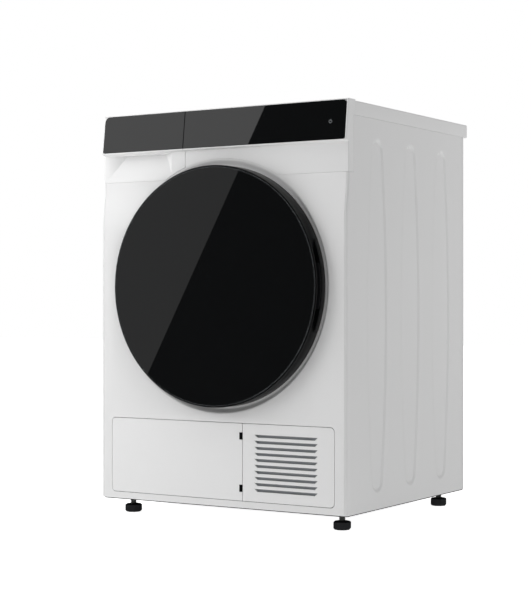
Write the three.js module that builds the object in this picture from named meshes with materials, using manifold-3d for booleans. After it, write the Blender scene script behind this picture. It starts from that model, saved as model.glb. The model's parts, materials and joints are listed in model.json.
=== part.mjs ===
// A freestanding tumble dryer, 60 cm wide, built as separate pieces that come apart on a bench.
// Millimetres, +Z up, the door faces -Y. The origin is on the floor under the middle of the machine.

import * as THREE from 'three';
import { ConvexGeometry } from 'three/addons/geometries/ConvexGeometry.js';
import { mergeVertices } from 'three/addons/utils/BufferGeometryUtils.js';
import Module from 'manifold-3d';

const wasm = await Module();
wasm.setup();

// ---------------------------------------------------------------- overall sizes
const WIDTH = 600;
const HEIGHT = 850;
const BODY_DEPTH = 537; // side panels, front to back
const LID_OVERHANG = 17.5; // worktop behind the side panels
const DOOR_PROUD = 26.5; // door glass in front of the cabinet
const BODY_BOTTOM = 35; // lower edge of the sheet-metal casing

// ---------------------------------------------------------------- clearances and skins
const GAP = 0.3; // between pieces that meet
const SEAM = 1; // open joint between visible panels
const SHEET = 1.2; // pressed steel
const WALL = 2.6; // moulded plastic
const RUN_GAP = 0.4; // round a turning piece

// ---------------------------------------------------------------- front
const CORNER = 5; // chamfered vertical edge of the casing
const SETBACK = 8; // the upper front lies this far behind the lower front
const CURVE_LOW = 610; // the front begins to lean back here
const CURVE_HIGH = 695; // and is upright again here
const CURVE_STEPS = 5;
const FASCIA_SEAM = 707; // lower edge of the control fascia
const FASCIA_WRAP = 27.5; // fascia round the side of the casing
const LID_FRONT = 35.6;
const LID_SIDE = 819.5; // lower edge of the worktop
const LID_TOP = 848; // the worktop lies a little below the fascia's upper edge
const LID_CHAMFER = 3;
const LID_HEEL = 4; // chamfer under the rear edge
const GLASS_BOTTOM = 770;
const GLASS_TOP = 848;
const GLASS_BOTTOM_Y = -1.5;
const GLASS_TOP_Y = 8;
const GLASS_THICK = 3.2;
const GLASS_MARGIN = 3.6; // white edge beside the glass
const LEDGE_DROP = 4.5; // underside of the glass ledge

// ---------------------------------------------------------------- water drawer
const DRAWER_EDGE = -88.1; // joint between the drawer front and the fascia
const DRAWER_FRONT_DEPTH = 26.4;
const SCOOP_LEFT = -283;
const SCOOP_RIGHT = -123;
const SCOOP_LOW = 720;
const SCOOP_HIGH = 763;
const SCOOP_DEPTH = 15;
const SCOOP_INSET_LEFT = 33;
const SCOOP_INSET_RIGHT = 15;
const FRAME_Y = 27; // frame behind the drawer front
const TANK_LEFT = -290;
const TANK_RIGHT = -100;
const TANK_LOW = 741;
const TANK_HIGH = 812;
const TANK_BACK = 465;
const TANK_FILL_RADIUS = 18;
const SLEEVE_GAP = 2;

// ---------------------------------------------------------------- door and mouth
const DOOR_Z = 484;
const DOOR_RADIUS = 246.5;
const DOOR_GLASS_THICK = 4;
const DOOR_REAR = 11.4;
const RING_REAR = 9;
const DISH_MARGIN = 14.5; // the dish reaches this far beyond the door
const DISH_RADIUS = DOOR_RADIUS + DISH_MARGIN;
const DISH_DEPTH = 12;
const RING_SEAM = DISH_RADIUS + SEAM; // round edge where the fascia meets the front panel
const OPENING_LEDGE = 38.5; // the door laps over the opening by this much
const OPENING_RADIUS = DOOR_RADIUS - OPENING_LEDGE;
const MOUTH_LEDGE = 16;
const MOUTH_RADIUS = OPENING_RADIUS - MOUTH_LEDGE;
const BOWL_MARGIN = 40.5;
const BOWL_RADIUS = MOUTH_RADIUS - BOWL_MARGIN;
const BOWL_BACK = 90;
const GRIP_DEPTH = 17.5;
const GRIP_CHORD = DOOR_RADIUS - GRIP_DEPTH; // floor of the finger recess in the door's edge
const GRIP_HALF = 45;
const GRIP_LIP = 21; // the recess starts this far in front of the cabinet
const GRIP_BACK = 5; // and ends this far in front of it
const GRIP_PLATE = 2.5;
const HINGE_INSET = 8.5;
const HINGE_X = HINGE_INSET - DOOR_RADIUS;
const HINGE_Y = -14;
const HINGE_BARREL = 5;
const HINGE_PIN = 2.2;
const HINGE_HALF = 28;
const HINGE_LUG = 16;
const HINGE_NOTCH = 52;
const LATCH_INSET = 28.5;
const LATCH_X = DOOR_RADIUS - LATCH_INSET;

// ---------------------------------------------------------------- drum
const DRUM_Z = 480;
const DRUM_RADIUS = 265;
const DRUM_FRONT = 62;
const DRUM_BACK = 478;
const LIFTER_COUNT = 3;
const LIFTER_HEIGHT = 55;
const LIFTER_TAPER = 0.85; // width of a lifter's hollow against its outside
const SHAFT_RADIUS = 15;
const ROLLER_RADIUS = 18;
const ROLLER_ANGLE = 38; // degrees from straight down
const AXLE_RADIUS = 5;
const BELT_Y = 330;
const BELT_WIDTH = 10;
const BELT_THICK = 3;
const BELT_GAP = 1; // the facets of the drum turn freely inside those of the belt

// ---------------------------------------------------------------- drive and air
const MOTOR_X = 175;
const MOTOR_Z = 118;
const MOTOR_RADIUS = 50;
const PULLEY_RADIUS = 11;
const IDLER_RADIUS = 12;
const IDLER_REACH = 70; // along the belt from the motor pulley
const FAN_RADIUS = 70;
const BLADE_COUNT = 10;
const FAN_CASE_RADIUS = 78;
const REAR_HOLE = 225;
const EXCHANGER_LEFT = -238;
const EXCHANGER_RIGHT = 42;
const EXCHANGER_FRONT = 31;
const EXCHANGER_BACK = 300;
const EXCHANGER_TOP = 200;
const FIN_COUNT = 14;
const COMPRESSOR_RADIUS = 62;
const COMPRESSOR_TOP = 188;
const COMPRESSOR_PLACE = [-170, 420, 0];
const PUMP_PLACE = [-25, 465, 0];
const PUMP_RADIUS = 24;
const PUMP_TOP = 105;
const INLET_PLACE = [230, 0, 110];
const INLET_RADIUS = 13;

// ---------------------------------------------------------------- base, kick area and feet
const KICK_HALF = 273;
const KICK_LOW = 48.5;
const KICK_HIGH = 207;
const KICK_CORNER = 9.5;
const KICK_SPLIT = 58.6;
const FLAP_THICK = 3;
const FLAP_PIVOT_X = 53.5;
const FLAP_PIVOT_Y = 3;
const KNUCKLE_RADIUS = 4;
const KNUCKLE_HEIGHT = 14;
const KNUCKLE_INSET = 26.25; // from the upper and lower edges of the kick opening
const KNUCKLE_CENTRES = [KICK_LOW + KNUCKLE_INSET, KICK_HIGH - KNUCKLE_INSET];
const SLOT_COUNT = 10;
const SLOT_PITCH = 12.13;
const SLOT_INSET = 22.6;
const SLOT_TOP = KICK_HIGH - SLOT_INSET;
const SLOT_HEIGHT = 4.8;
const SLOT_LEFT = 87.4;
const SLOT_RIGHT = 234.5;
const SLOT_SLANT = 5.4;
const TRAY_LOW = 33;
const TRAY_FLOOR = 38;
const TRAY_HIGH = 66;
const FOOT_X = 258;
const FOOT_FRONT_Y = 57;
const FOOT_REAR_Y = 495;
const FOOT_RADIUS = 18.4;
const FOOT_HEIGHT = 17;
const STUD_RADIUS = 6.5;
const FILTER_HALF = 70;
const FILTER_FRONT = 31;
const FILTER_THICK = 14;
const FILTER_LOW = 222;
const FILTER_HIGH = 290;

// ---------------------------------------------------------------- side panel beads
const BEAD_CENTRES = [127.5, 274.5, 419.5];
const BEAD_LOW = 75;
const BEAD_HIGH = 774;
const BEAD_MIDDLE = 37;
const BEAD_END = 17.5;
const BEAD_DEPTH = 3;
const BEAD_SLOPE = 6;

// ---------------------------------------------------------------- facets and derived places
const ROUND = 44;
const SMALL_ROUND = 12;
const HALF = WIDTH / 2;
const DEPTH = BODY_DEPTH + LID_OVERHANG + DOOR_PROUD;
const FRONT_Y = DOOR_PROUD - DEPTH / 2; // cabinet front plane in the part's own frame
const LID_BACK = BODY_DEPTH + LID_OVERHANG;
const FLANGE = SHEET + GAP; // room for a sheet and its joint
const REAR_Y = BODY_DEPTH - FLANGE - SHEET; // front face of the rear panel
const PANEL_HALF = HALF - CORNER - 0.1;
const FLAT_Z = FASCIA_SEAM - GAP;
const TRAY_REST = TRAY_FLOOR + GAP;
const DOOR_FRONT = -DOOR_PROUD;

// ================================================================ solids

// Faces of a three.js geometry as a closed mesh of shared vertices, turned to face out.
function closedMesh(geometry) {
  const bare = geometry.clone();
  bare.deleteAttribute('normal');
  bare.deleteAttribute('uv');
  const merged = mergeVertices(bare, 1e-4);
  const points = merged.attributes.position.array;
  const index = merged.index.array;
  const triangles = [];
  let volume = 0;
  for (let i = 0; i < index.length; i += 3) {
    const [a, b, c] = [index[i], index[i + 1], index[i + 2]];
    if (a === b || b === c || c === a) continue;
    triangles.push(a, b, c);
    volume += tripleProduct(points, a, b, c);
  }
  if (volume < 0) triangles.reverse();
  return { vertProperties: new Float32Array(points), triVerts: new Uint32Array(triangles) };
}

function tripleProduct(points, a, b, c) {
  const corner = (i) => new THREE.Vector3(points[3 * i], points[3 * i + 1], points[3 * i + 2]);
  return corner(a).dot(corner(b).cross(corner(c)));
}

function asSolid(piece) {
  if (!piece.isBufferGeometry) return piece;
  return new wasm.Manifold(new wasm.Mesh({ numProp: 3, ...closedMesh(piece) }));
}

function join(first, ...others) {
  return others.reduce((whole, piece) => whole.add(asSolid(piece)), asSolid(first));
}

function cut(first, ...tools) {
  return tools.reduce((whole, tool) => whole.subtract(asSolid(tool)), asSolid(first));
}

function common(first, ...others) {
  return others.reduce((whole, piece) => whole.intersect(asSolid(piece)), asSolid(first));
}

function asGeometry(piece) {
  const mesh = asSolid(piece).getMesh();
  const geometry = new THREE.BufferGeometry();
  geometry.setAttribute('position', new THREE.BufferAttribute(mesh.vertProperties, 3));
  geometry.setIndex(new THREE.BufferAttribute(mesh.triVerts, 1));
  geometry.computeVertexNormals();
  return geometry;
}

function box(x0, x1, y0, y1, z0, z1) {
  const geometry = new THREE.BoxGeometry(x1 - x0, y1 - y0, z1 - z0);
  return geometry.translate((x0 + x1) / 2, (y0 + y1) / 2, (z0 + z1) / 2);
}

function shapeOf(points) {
  if (points instanceof THREE.Shape) return points;
  return new THREE.Shape(points.map(([a, b]) => new THREE.Vector2(a, b)));
}

function extrude(points, depth) {
  return new THREE.ExtrudeGeometry(shapeOf(points), { depth, bevelEnabled: false, curveSegments: 4 });
}

// An outline in (y, z), pulled along X.
function prismX(points, x0, x1) {
  const turn = new THREE.Matrix4().set(0, 0, 1, x0, 1, 0, 0, 0, 0, 1, 0, 0, 0, 0, 0, 1);
  return extrude(points, x1 - x0).applyMatrix4(turn);
}

// An outline in (x, z), pulled along Y.
function prismY(points, y0, y1) {
  return extrude(points, y1 - y0).rotateX(Math.PI / 2).translate(0, y1, 0);
}

// An outline in (x, y), pulled along Z.
function prismZ(points, z0, z1) {
  return extrude(points, z1 - z0).translate(0, 0, z0);
}

// A profile of (radius, distance along the axis), turned about an axis through a centre.
function turned(axis, centre, profile, facets = ROUND) {
  const points = profile.map(([radius, along]) => new THREE.Vector2(radius, along));
  const onAxis = profile[0][0] === 0 && profile.at(-1)[0] === 0;
  if (!onAxis) points.push(points[0].clone());
  const geometry = new THREE.LatheGeometry(points, facets);
  if (axis === 'x') geometry.rotateZ(-Math.PI / 2);
  if (axis === 'z') geometry.rotateX(Math.PI / 2);
  return geometry.translate(...centre);
}

function rod(axis, centre, radius, from, to, facets = ROUND) {
  return turned(axis, centre, [[0, from], [radius, from], [radius, to], [0, to]], facets);
}

function hull(points) {
  return new ConvexGeometry(points.map(([x, y, z]) => new THREE.Vector3(x, y, z)));
}

// Corner radii run from the lower left corner, anticlockwise.
function roundedOutline(x0, x1, z0, z1, radii) {
  const [lowLeft, lowRight, highRight, highLeft] = radii;
  const shape = new THREE.Shape();
  shape.absarc(x0 + lowLeft, z0 + lowLeft, lowLeft, Math.PI, 1.5 * Math.PI);
  shape.absarc(x1 - lowRight, z0 + lowRight, lowRight, 1.5 * Math.PI, 2 * Math.PI);
  shape.absarc(x1 - highRight, z1 - highRight, highRight, 0, 0.5 * Math.PI);
  shape.absarc(x0 + highLeft, z1 - highLeft, highLeft, 0.5 * Math.PI, Math.PI);
  return shape;
}

// Points round a circle in a plane across Y, with the same facets as a turned piece.
function ringPoints(x, z, radius, y, facets) {
  return Array.from({ length: facets }, (_, i) => {
    const angle = (2 * Math.PI * i) / facets;
    return [x + radius * Math.sin(angle), y, z + radius * Math.cos(angle)];
  });
}

// ================================================================ front surface

function setback(z) {
  const t = THREE.MathUtils.clamp((z - CURVE_LOW) / (CURVE_HIGH - CURVE_LOW), 0, 1);
  return SETBACK * t * t * (3 - 2 * t);
}

function frontLevels(low, high) {
  const steps = Array.from({ length: CURVE_STEPS + 1 }, (_, i) => (
    CURVE_LOW + ((CURVE_HIGH - CURVE_LOW) * i) / CURVE_STEPS));
  return [low, ...steps, high];
}

function glassY(z) {
  const t = (z - GLASS_BOTTOM) / (GLASS_TOP - GLASS_BOTTOM);
  return GLASS_BOTTOM_Y + t * (GLASS_TOP_Y - GLASS_BOTTOM_Y);
}

// Front of the fascia and of the drawer front, from the lower seam up over the glass seat.
function fasciaFront() {
  const seat = GLASS_THICK + GAP;
  const lip = GLASS_BOTTOM - GAP;
  const top = GLASS_TOP + GAP;
  return [
    [SETBACK, FASCIA_SEAM],
    [SETBACK, GLASS_BOTTOM - LEDGE_DROP],
    [GLASS_BOTTOM_Y + GAP, GLASS_BOTTOM - LEDGE_DROP / 2],
    [GLASS_BOTTOM_Y, lip],
    [glassY(lip) + seat, lip],
    [glassY(top) + seat, top],
    [glassY(top) + GAP, top],
    [glassY(HEIGHT), HEIGHT],
  ];
}

function ringCut(radius, y1) {
  return rod('y', [0, 0, DOOR_Z], radius, -DOOR_PROUD, y1);
}

function dishProfile(radius, depth, opening, mouthDepth) {
  return [
    [0, -1], [radius + 1, -1], [radius - depth, depth],
    [opening, depth], [opening, mouthDepth], [0, mouthDepth],
  ];
}

function frontPanel() {
  const levels = frontLevels(BODY_BOTTOM, DOOR_Z + RING_SEAM);
  const front = levels.map((z) => [setback(z), z]);
  const back = levels.toReversed().map((z) => [setback(z) + SHEET, z]);
  const inside = DISH_DEPTH + 2 * CORNER;
  const behind = [...front, [inside, DOOR_Z + RING_SEAM], [inside, BODY_BOTTOM]];
  const outline = join(
    box(-PANEL_HALF, PANEL_HALF, -1, DISH_DEPTH * 2, BODY_BOTTOM, FLAT_Z),
    ringCut(RING_SEAM, DISH_DEPTH * 2),
  );
  const mouthDepth = DISH_DEPTH + 10;
  const centre = [0, 0, DOOR_Z];
  const dishInside = turned('y', centre, dishProfile(
    DISH_RADIUS, DISH_DEPTH, OPENING_RADIUS, mouthDepth + 1));
  const dishOutside = turned('y', centre, dishProfile(
    DISH_RADIUS + SHEET + GAP, DISH_DEPTH + SHEET, OPENING_RADIUS + SHEET, mouthDepth));
  const sheet = common(prismX([...front, ...back], -PANEL_HALF, PANEL_HALF), outline);
  const dish = common(dishOutside, prismX(behind, -HALF, HALF), outline);
  const kickCorners = Array(4).fill(KICK_CORNER);
  return cut(
    join(sheet, dish),
    dishInside,
    prismY(roundedOutline(-KICK_HALF, KICK_HALF, KICK_LOW, KICK_HIGH, kickCorners), -1, SHEET + 1),
    latchSlot(),
  );
}

function latchSlot() {
  return box(LATCH_X - 5.5, LATCH_X + 8, DISH_DEPTH - 1, DISH_DEPTH + 4, DOOR_Z - 14, DOOR_Z + 14);
}

// ================================================================ casing

function beadOutline(grow, centre) {
  const middle = (BEAD_LOW + BEAD_HIGH) / 2;
  const half = (BEAD_HIGH - BEAD_LOW) / 2;
  const flank = half - BEAD_END;
  const points = [];
  for (let i = -3; i <= 3; i += 1) {
    const t = i / 3;
    points.push([BEAD_END + (BEAD_MIDDLE - BEAD_END) * (1 - t * t) + grow, middle + t * flank]);
  }
  for (let i = 1; i <= 3; i += 1) {
    const angle = (i * Math.PI) / 6;
    const reach = BEAD_END + grow;
    points.push([reach * Math.cos(angle), middle + flank + reach * Math.sin(angle)]);
    points.unshift([reach * Math.cos(angle), middle - flank - reach * Math.sin(angle)]);
  }
  const mirrored = points.slice(1, -1).map(([y, z]) => [-y, z]);
  return [...points, ...mirrored].map(([y, z]) => [y + centre, z]);
}

function beadBody(side, centre, outerX, outerGrow, innerX, innerGrow) {
  return hull([
    ...beadOutline(outerGrow, centre).map(([y, z]) => [side * outerX, y, z]),
    ...beadOutline(innerGrow, centre).map(([y, z]) => [side * innerX, y, z]),
  ]);
}

// Plan of a side panel: front flange, chamfered corner, flat, rear flange.
function sidePlan(side) {
  const outer = [
    [HALF - 19, FLANGE], [HALF - CORNER + GAP, FLANGE], [HALF - CORNER + GAP, 0],
    [HALF - 0.7 * CORNER, 0.1 * CORNER],
    [HALF - 0.1 * CORNER, 0.7 * CORNER], [HALF, CORNER + 1], [HALF, BODY_DEPTH], [HALF - 15, BODY_DEPTH],
  ];
  const inner = [
    [HALF - 15, BODY_DEPTH - SHEET], [HALF - SHEET, BODY_DEPTH - SHEET], [HALF - SHEET, CORNER + 2],
    [HALF - SHEET - 1.4, FLANGE + SHEET], [HALF - 19, FLANGE + SHEET],
  ];
  return [...outer, ...inner].map(([x, y]) => [side * x, y]);
}

function sidePanel(side) {
  const levels = frontLevels(BODY_BOTTOM, LID_SIDE - GAP);
  const steps = levels.length - 1;
  const settings = { depth: steps, steps, bevelEnabled: false };
  const geometry = new THREE.ExtrudeGeometry(shapeOf(sidePlan(side)), settings);
  const place = geometry.attributes.position;
  for (let i = 0; i < place.count; i += 1) {
    const z = levels[Math.round(place.getZ(i))];
    const moves = place.getY(i) < BODY_DEPTH / 2 ? setback(z) : 0;
    place.setXYZ(i, place.getX(i), place.getY(i) + moves, z);
  }
  let panel = cut(geometry, box(-HALF - 1, HALF + 1, -1, FASCIA_WRAP + GAP, FLAT_Z, HEIGHT));
  const run = 0.5; // the pressing tool starts just outside the sheet
  for (const centre of BEAD_CENTRES) {
    const grow = BEAD_SLOPE + SHEET;
    panel = join(panel, beadBody(side, centre, HALF - SHEET / 2, grow, HALF - BEAD_DEPTH - SHEET, SHEET));
    panel = cut(panel, beadBody(side, centre, HALF + run, BEAD_SLOPE + run, HALF - BEAD_DEPTH, 0));
  }
  return panel;
}

function rearPanel() {
  const width = HALF - SHEET - 2 * GAP;
  return cut(
    box(-width, width, REAR_Y, REAR_Y + SHEET, TRAY_HIGH + GAP, LID_SIDE - GAP),
    rod('y', [0, 0, DRUM_Z], REAR_HOLE, REAR_Y - 1, REAR_Y + SHEET + 1),
    rod('y', INLET_PLACE, INLET_RADIUS, REAR_Y - 1, REAR_Y + SHEET + 1, SMALL_ROUND),
  );
}

function rearDuctCover() {
  const face = REAR_Y + SHEET + GAP;
  const bulge = 14;
  return turned('y', [0, 0, DRUM_Z], [
    [0, face + bulge], [REAR_HOLE - 21, face + bulge], [REAR_HOLE - 12, face], [REAR_HOLE + 17, face],
    [REAR_HOLE + 17, face + SHEET], [REAR_HOLE - 11, face + SHEET], [REAR_HOLE - 20, face + bulge + SHEET],
    [0, face + bulge + SHEET],
  ], 36);
}

function worktop() {
  const top = LID_TOP - LID_CHAMFER;
  const across = [[LID_FRONT, LID_SIDE], [LID_BACK - LID_HEEL, LID_SIDE], [LID_BACK, LID_SIDE + LID_HEEL],
    [LID_BACK, top], [LID_BACK - LID_CHAMFER, LID_TOP], [LID_FRONT, LID_TOP]];
  const along = [[-HALF, LID_SIDE], [HALF, LID_SIDE], [HALF, top], [HALF - LID_CHAMFER, LID_TOP],
    [LID_CHAMFER - HALF, LID_TOP], [-HALF, top]];
  const rim = 18;
  return cut(
    common(prismX(across, -HALF, HALF), prismY(along, 0, LID_BACK + 1)),
    box(rim - HALF, HALF - rim, LID_FRONT + rim, LID_BACK - rim, LID_SIDE - 1, LID_SIDE + 15),
  );
}

function baseTray() {
  const half = HALF - SHEET - 2 * GAP;
  const front = FLANGE + SHEET + GAP;
  const back = REAR_Y - GAP;
  const wall = 3.5;
  const plan = [
    [-half, front + CORNER], [CORNER - half, front], [half - CORNER, front],
    [half, front + CORNER], [half, back], [-half, back],
  ];
  let tray = cut(
    prismZ(plan, TRAY_LOW, TRAY_HIGH),
    box(wall - half, half - wall, front + wall, back - wall, TRAY_FLOOR, TRAY_HIGH + 1),
    box(-KICK_HALF - 2, KICK_HALF + 2, front - 1, front + wall + 1, KICK_LOW - 2, TRAY_HIGH + 1),
  );
  for (const [x, y] of footPlaces()) {
    tray = join(tray, rod('z', [x, y, 0], 2 * STUD_RADIUS, TRAY_LOW, TRAY_HIGH - 8, SMALL_ROUND));
  }
  for (const [x, y] of footPlaces()) {
    tray = cut(tray, rod('z', [x, y, 0], STUD_RADIUS + RUN_GAP, TRAY_LOW - 1, TRAY_HIGH, 8));
  }
  return tray;
}

function footPlaces() {
  return [[-FOOT_X, FOOT_FRONT_Y], [FOOT_X, FOOT_FRONT_Y], [-FOOT_X, FOOT_REAR_Y], [FOOT_X, FOOT_REAR_Y]];
}

function foot(x, y) {
  return turned('z', [x, y, 0], [
    [0, 0], [FOOT_RADIUS - 3, 0], [FOOT_RADIUS, 3],
    [FOOT_RADIUS, FOOT_HEIGHT - 2], [FOOT_RADIUS - 3, FOOT_HEIGHT],
    [STUD_RADIUS, FOOT_HEIGHT], [STUD_RADIUS, TRAY_HIGH - 10], [0, TRAY_HIGH - 10],
  ], 8);
}

// ================================================================ fascia and water drawer

function controlFascia() {
  const front = fasciaFront();
  const seat = GLASS_THICK + GAP + WALL;
  const wall = [...front, [LID_FRONT - GAP, HEIGHT], [LID_FRONT - GAP, HEIGHT - WALL],
    [glassY(HEIGHT) + seat, HEIGHT - WALL],
    [glassY(GLASS_BOTTOM) + seat, GLASS_BOTTOM + WALL], [SETBACK + WALL, GLASS_BOTTOM - LEDGE_DROP],
    [SETBACK + WALL, FASCIA_SEAM]];
  const cheek = [...front.slice(0, 4), front.at(-1), [LID_FRONT - GAP, HEIGHT],
    [LID_FRONT - GAP, LID_SIDE + GAP],
    [FASCIA_WRAP, LID_SIDE + GAP], [FASCIA_WRAP, FASCIA_SEAM]];
  const left = DRAWER_EDGE + SEAM / 2;
  const frameBack = LID_FRONT - GAP;
  const opening = box(TANK_LEFT - SLEEVE_GAP, TANK_RIGHT + SLEEVE_GAP, FRAME_Y - 1, frameBack + 1,
    TANK_LOW - SLEEVE_GAP, TANK_HIGH + SLEEVE_GAP);
  return cut(
    join(
      prismX(wall, left, HALF - WALL / 2),
      prismX(cheek, HALF - WALL, HALF),
      prismX([...front, [LID_FRONT - GAP, HEIGHT], [LID_FRONT - GAP, FASCIA_SEAM]], left, left + WALL),
      cut(box(-HALF, left + WALL, FRAME_Y, frameBack, FASCIA_SEAM, HEIGHT), opening),
    ),
    ringCut(RING_SEAM + GAP, FRAME_Y - WALL),
    box(-HALF - 1, DRAWER_EDGE, -DOOR_PROUD, FRAME_Y, FASCIA_SEAM - 1, HEIGHT + 1),
    sideClearance(-1),
    sideClearance(1),
  );
}

// The casing's side sheet rises behind the fascia, below the worktop.
function sideClearance(side) {
  const [x0, x1] = [side * (HALF - SHEET - GAP), side * (HALF + 1)].sort((a, b) => a - b);
  return box(x0, x1, FASCIA_WRAP, LID_FRONT + 1, FASCIA_SEAM - 1, LID_SIDE);
}

function glassSlab(x0, x1, radii) {
  const slab = [[glassY(GLASS_BOTTOM), GLASS_BOTTOM], [glassY(GLASS_TOP), GLASS_TOP],
    [glassY(GLASS_TOP) + GLASS_THICK, GLASS_TOP], [glassY(GLASS_BOTTOM) + GLASS_THICK, GLASS_BOTTOM]];
  const outline = roundedOutline(x0, x1, GLASS_BOTTOM, GLASS_TOP, radii);
  return common(prismX(slab, x0 - 1, x1 + 1), prismY(outline, -DOOR_PROUD, FASCIA_WRAP));
}

function scoopBody(grow) {
  const top = SCOOP_HIGH + grow;
  const low = SCOOP_LOW - grow;
  const back = SETBACK + SCOOP_DEPTH + grow;
  const left = SCOOP_LEFT - grow;
  const right = SCOOP_RIGHT + grow;
  const corners = [];
  for (const y of [SETBACK - 2, SETBACK + grow]) {
    corners.push([left, y, low], [right, y, low], [left, y, top], [right, y, top]);
  }
  corners.push([left + SCOOP_INSET_LEFT, back, top], [right - SCOOP_INSET_RIGHT, back, top]);
  return hull(corners);
}

function drawerFront() {
  const right = DRAWER_EDGE - SEAM / 2;
  const outline = [...fasciaFront(), [DRAWER_FRONT_DEPTH, HEIGHT], [DRAWER_FRONT_DEPTH, FASCIA_SEAM]];
  const block = asSolid(prismX(outline, -HALF, right));
  const inside = [WALL - HALF, right - WALL];
  const seat = glassY(GLASS_TOP) + GLASS_THICK + GAP + WALL;
  const hollow = cut(
    block,
    box(...inside, SETBACK + WALL, DRAWER_FRONT_DEPTH + 1, FASCIA_SEAM + WALL, SCOOP_HIGH),
    box(...inside, seat, DRAWER_FRONT_DEPTH + 1, GLASS_BOTTOM + WALL, HEIGHT - WALL),
  );
  return cut(
    join(hollow, common(block, scoopBody(WALL))),
    scoopBody(0),
    ringCut(RING_SEAM + SEAM, DRAWER_FRONT_DEPTH + 1),
  );
}

function waterTank() {
  const front = DRAWER_FRONT_DEPTH + GAP;
  const mouth = [TANK_RIGHT - 40, front + 50, 0];
  return cut(
    box(TANK_LEFT, TANK_RIGHT, front, TANK_BACK, TANK_LOW, TANK_HIGH),
    box(TANK_LEFT + WALL, TANK_RIGHT - WALL, front + WALL, TANK_BACK - WALL,
      TANK_LOW + WALL, TANK_HIGH - WALL),
    rod('z', mouth, TANK_FILL_RADIUS, TANK_HIGH - 2 * WALL, TANK_HIGH + 1, SMALL_ROUND),
  );
}

function tankSleeve() {
  const wall = 1.5;
  const left = TANK_LEFT - SLEEVE_GAP;
  const right = TANK_RIGHT + SLEEVE_GAP;
  const low = TANK_LOW - SLEEVE_GAP;
  return cut(
    box(left - wall, right + wall, LID_FRONT + GAP, TANK_BACK + 25, low - wall, TANK_HIGH),
    box(left, right, LID_FRONT - 1, TANK_BACK + 25 - wall, low, TANK_HIGH + 1),
  );
}

function controlBoard() {
  return box(20, 280, 24, 34, GLASS_BOTTOM + 6, HEIGHT - 10);
}

// ================================================================ kick area

function louvreGrille() {
  const left = KICK_SPLIT + SEAM / 2 + 0.2;
  const right = KICK_HALF - SEAM;
  const thick = 4;
  const corners = [1, KICK_CORNER, KICK_CORNER, 1];
  const outline = roundedOutline(left, right, KICK_LOW + SEAM, KICK_HIGH - SEAM, corners);
  let grille = asSolid(prismY(outline, 0, thick));
  const rise = 4;
  for (let i = 0; i < SLOT_COUNT; i += 1) {
    const slot = [];
    for (const [y, lift] of [[-0.5, -0.5], [thick + 0.5, rise]]) {
      const top = SLOT_TOP - i * SLOT_PITCH + lift;
      const low = top - SLOT_HEIGHT;
      slot.push([SLOT_LEFT, y, top], [SLOT_RIGHT, y, top]);
      slot.push([SLOT_LEFT + SLOT_SLANT, y, low], [SLOT_RIGHT - SLOT_SLANT, y, low]);
    }
    grille = cut(grille, hull(slot));
  }
  return grille;
}

function serviceFlap() {
  const right = KICK_SPLIT - SEAM / 2 - 0.2;
  const outline = roundedOutline(SEAM - KICK_HALF, right, KICK_LOW + SEAM, KICK_HIGH - SEAM,
    [KICK_CORNER, 1, 1, KICK_CORNER]);
  const pivot = [FLAP_PIVOT_X, FLAP_PIVOT_Y, 0];
  let flap = asSolid(prismY(outline, 0, FLAP_THICK));
  const low = KNUCKLE_CENTRES[0] - KNUCKLE_HEIGHT - 1;
  const high = KNUCKLE_CENTRES[1] + KNUCKLE_HEIGHT + 1;
  flap = join(flap, rod('z', pivot, KNUCKLE_RADIUS - 1, low, high, SMALL_ROUND));
  for (const centre of KNUCKLE_CENTRES) {
    const half = KNUCKLE_HEIGHT / 2 + RUN_GAP;
    const reach = KNUCKLE_RADIUS + 2 * RUN_GAP;
    const z = [centre - half, centre + half];
    flap = cut(flap, box(FLAP_PIVOT_X - reach, right + 1, -1, FLAP_PIVOT_Y + reach, ...z));
  }
  return join(flap, rod('z', pivot, 1.5, low + 2, high - 2, 12));
}

function flapHinge() {
  const reach = KNUCKLE_RADIUS;
  const back = 15;
  const low = KNUCKLE_CENTRES[0] - KNUCKLE_HEIGHT;
  const high = KNUCKLE_CENTRES[1] + KNUCKLE_HEIGHT;
  let hinge = asSolid(box(FLAP_PIVOT_X - 9, FLAP_PIVOT_X + 5, back - 2, back, low, high));
  for (const centre of KNUCKLE_CENTRES) {
    const z = [centre - KNUCKLE_HEIGHT / 2, centre + KNUCKLE_HEIGHT / 2];
    hinge = join(
      hinge,
      rod('z', [FLAP_PIVOT_X, FLAP_PIVOT_Y, 0], reach, ...z, SMALL_ROUND),
      box(FLAP_PIVOT_X - reach + 1, FLAP_PIVOT_X + reach - 1, FLAP_PIVOT_Y, back, ...z),
    );
    hinge = cut(hinge, rod('z', [FLAP_PIVOT_X, FLAP_PIVOT_Y, 0], 1.5 + RUN_GAP, z[0] - 1, z[1] + 1, 12));
  }
  return hinge;
}

// ================================================================ heat exchanger

function exchangerHousing() {
  return cut(
    box(EXCHANGER_LEFT, EXCHANGER_RIGHT, EXCHANGER_FRONT, EXCHANGER_BACK, TRAY_REST, EXCHANGER_TOP),
    box(EXCHANGER_LEFT + WALL, EXCHANGER_RIGHT - WALL, EXCHANGER_FRONT - 1, EXCHANGER_BACK - WALL,
      TRAY_REST + WALL, EXCHANGER_TOP - WALL),
  );
}

function coil(y0, y1) {
  const left = EXCHANGER_LEFT + WALL + 2;
  const right = EXCHANGER_RIGHT - WALL - 2;
  const low = TRAY_REST + WALL + GAP;
  const high = EXCHANGER_TOP - WALL - 2;
  const pitch = (right - left) / FIN_COUNT;
  let block = asSolid(box(left, right, y0, y1, low, high));
  for (let i = 0; i < FIN_COUNT; i += 1) {
    const start = left + (i + 0.25) * pitch;
    block = cut(block, box(start, start + pitch / 2, y0 - 1, y1 + 1, low + 8, high + 1));
  }
  return block;
}

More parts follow.
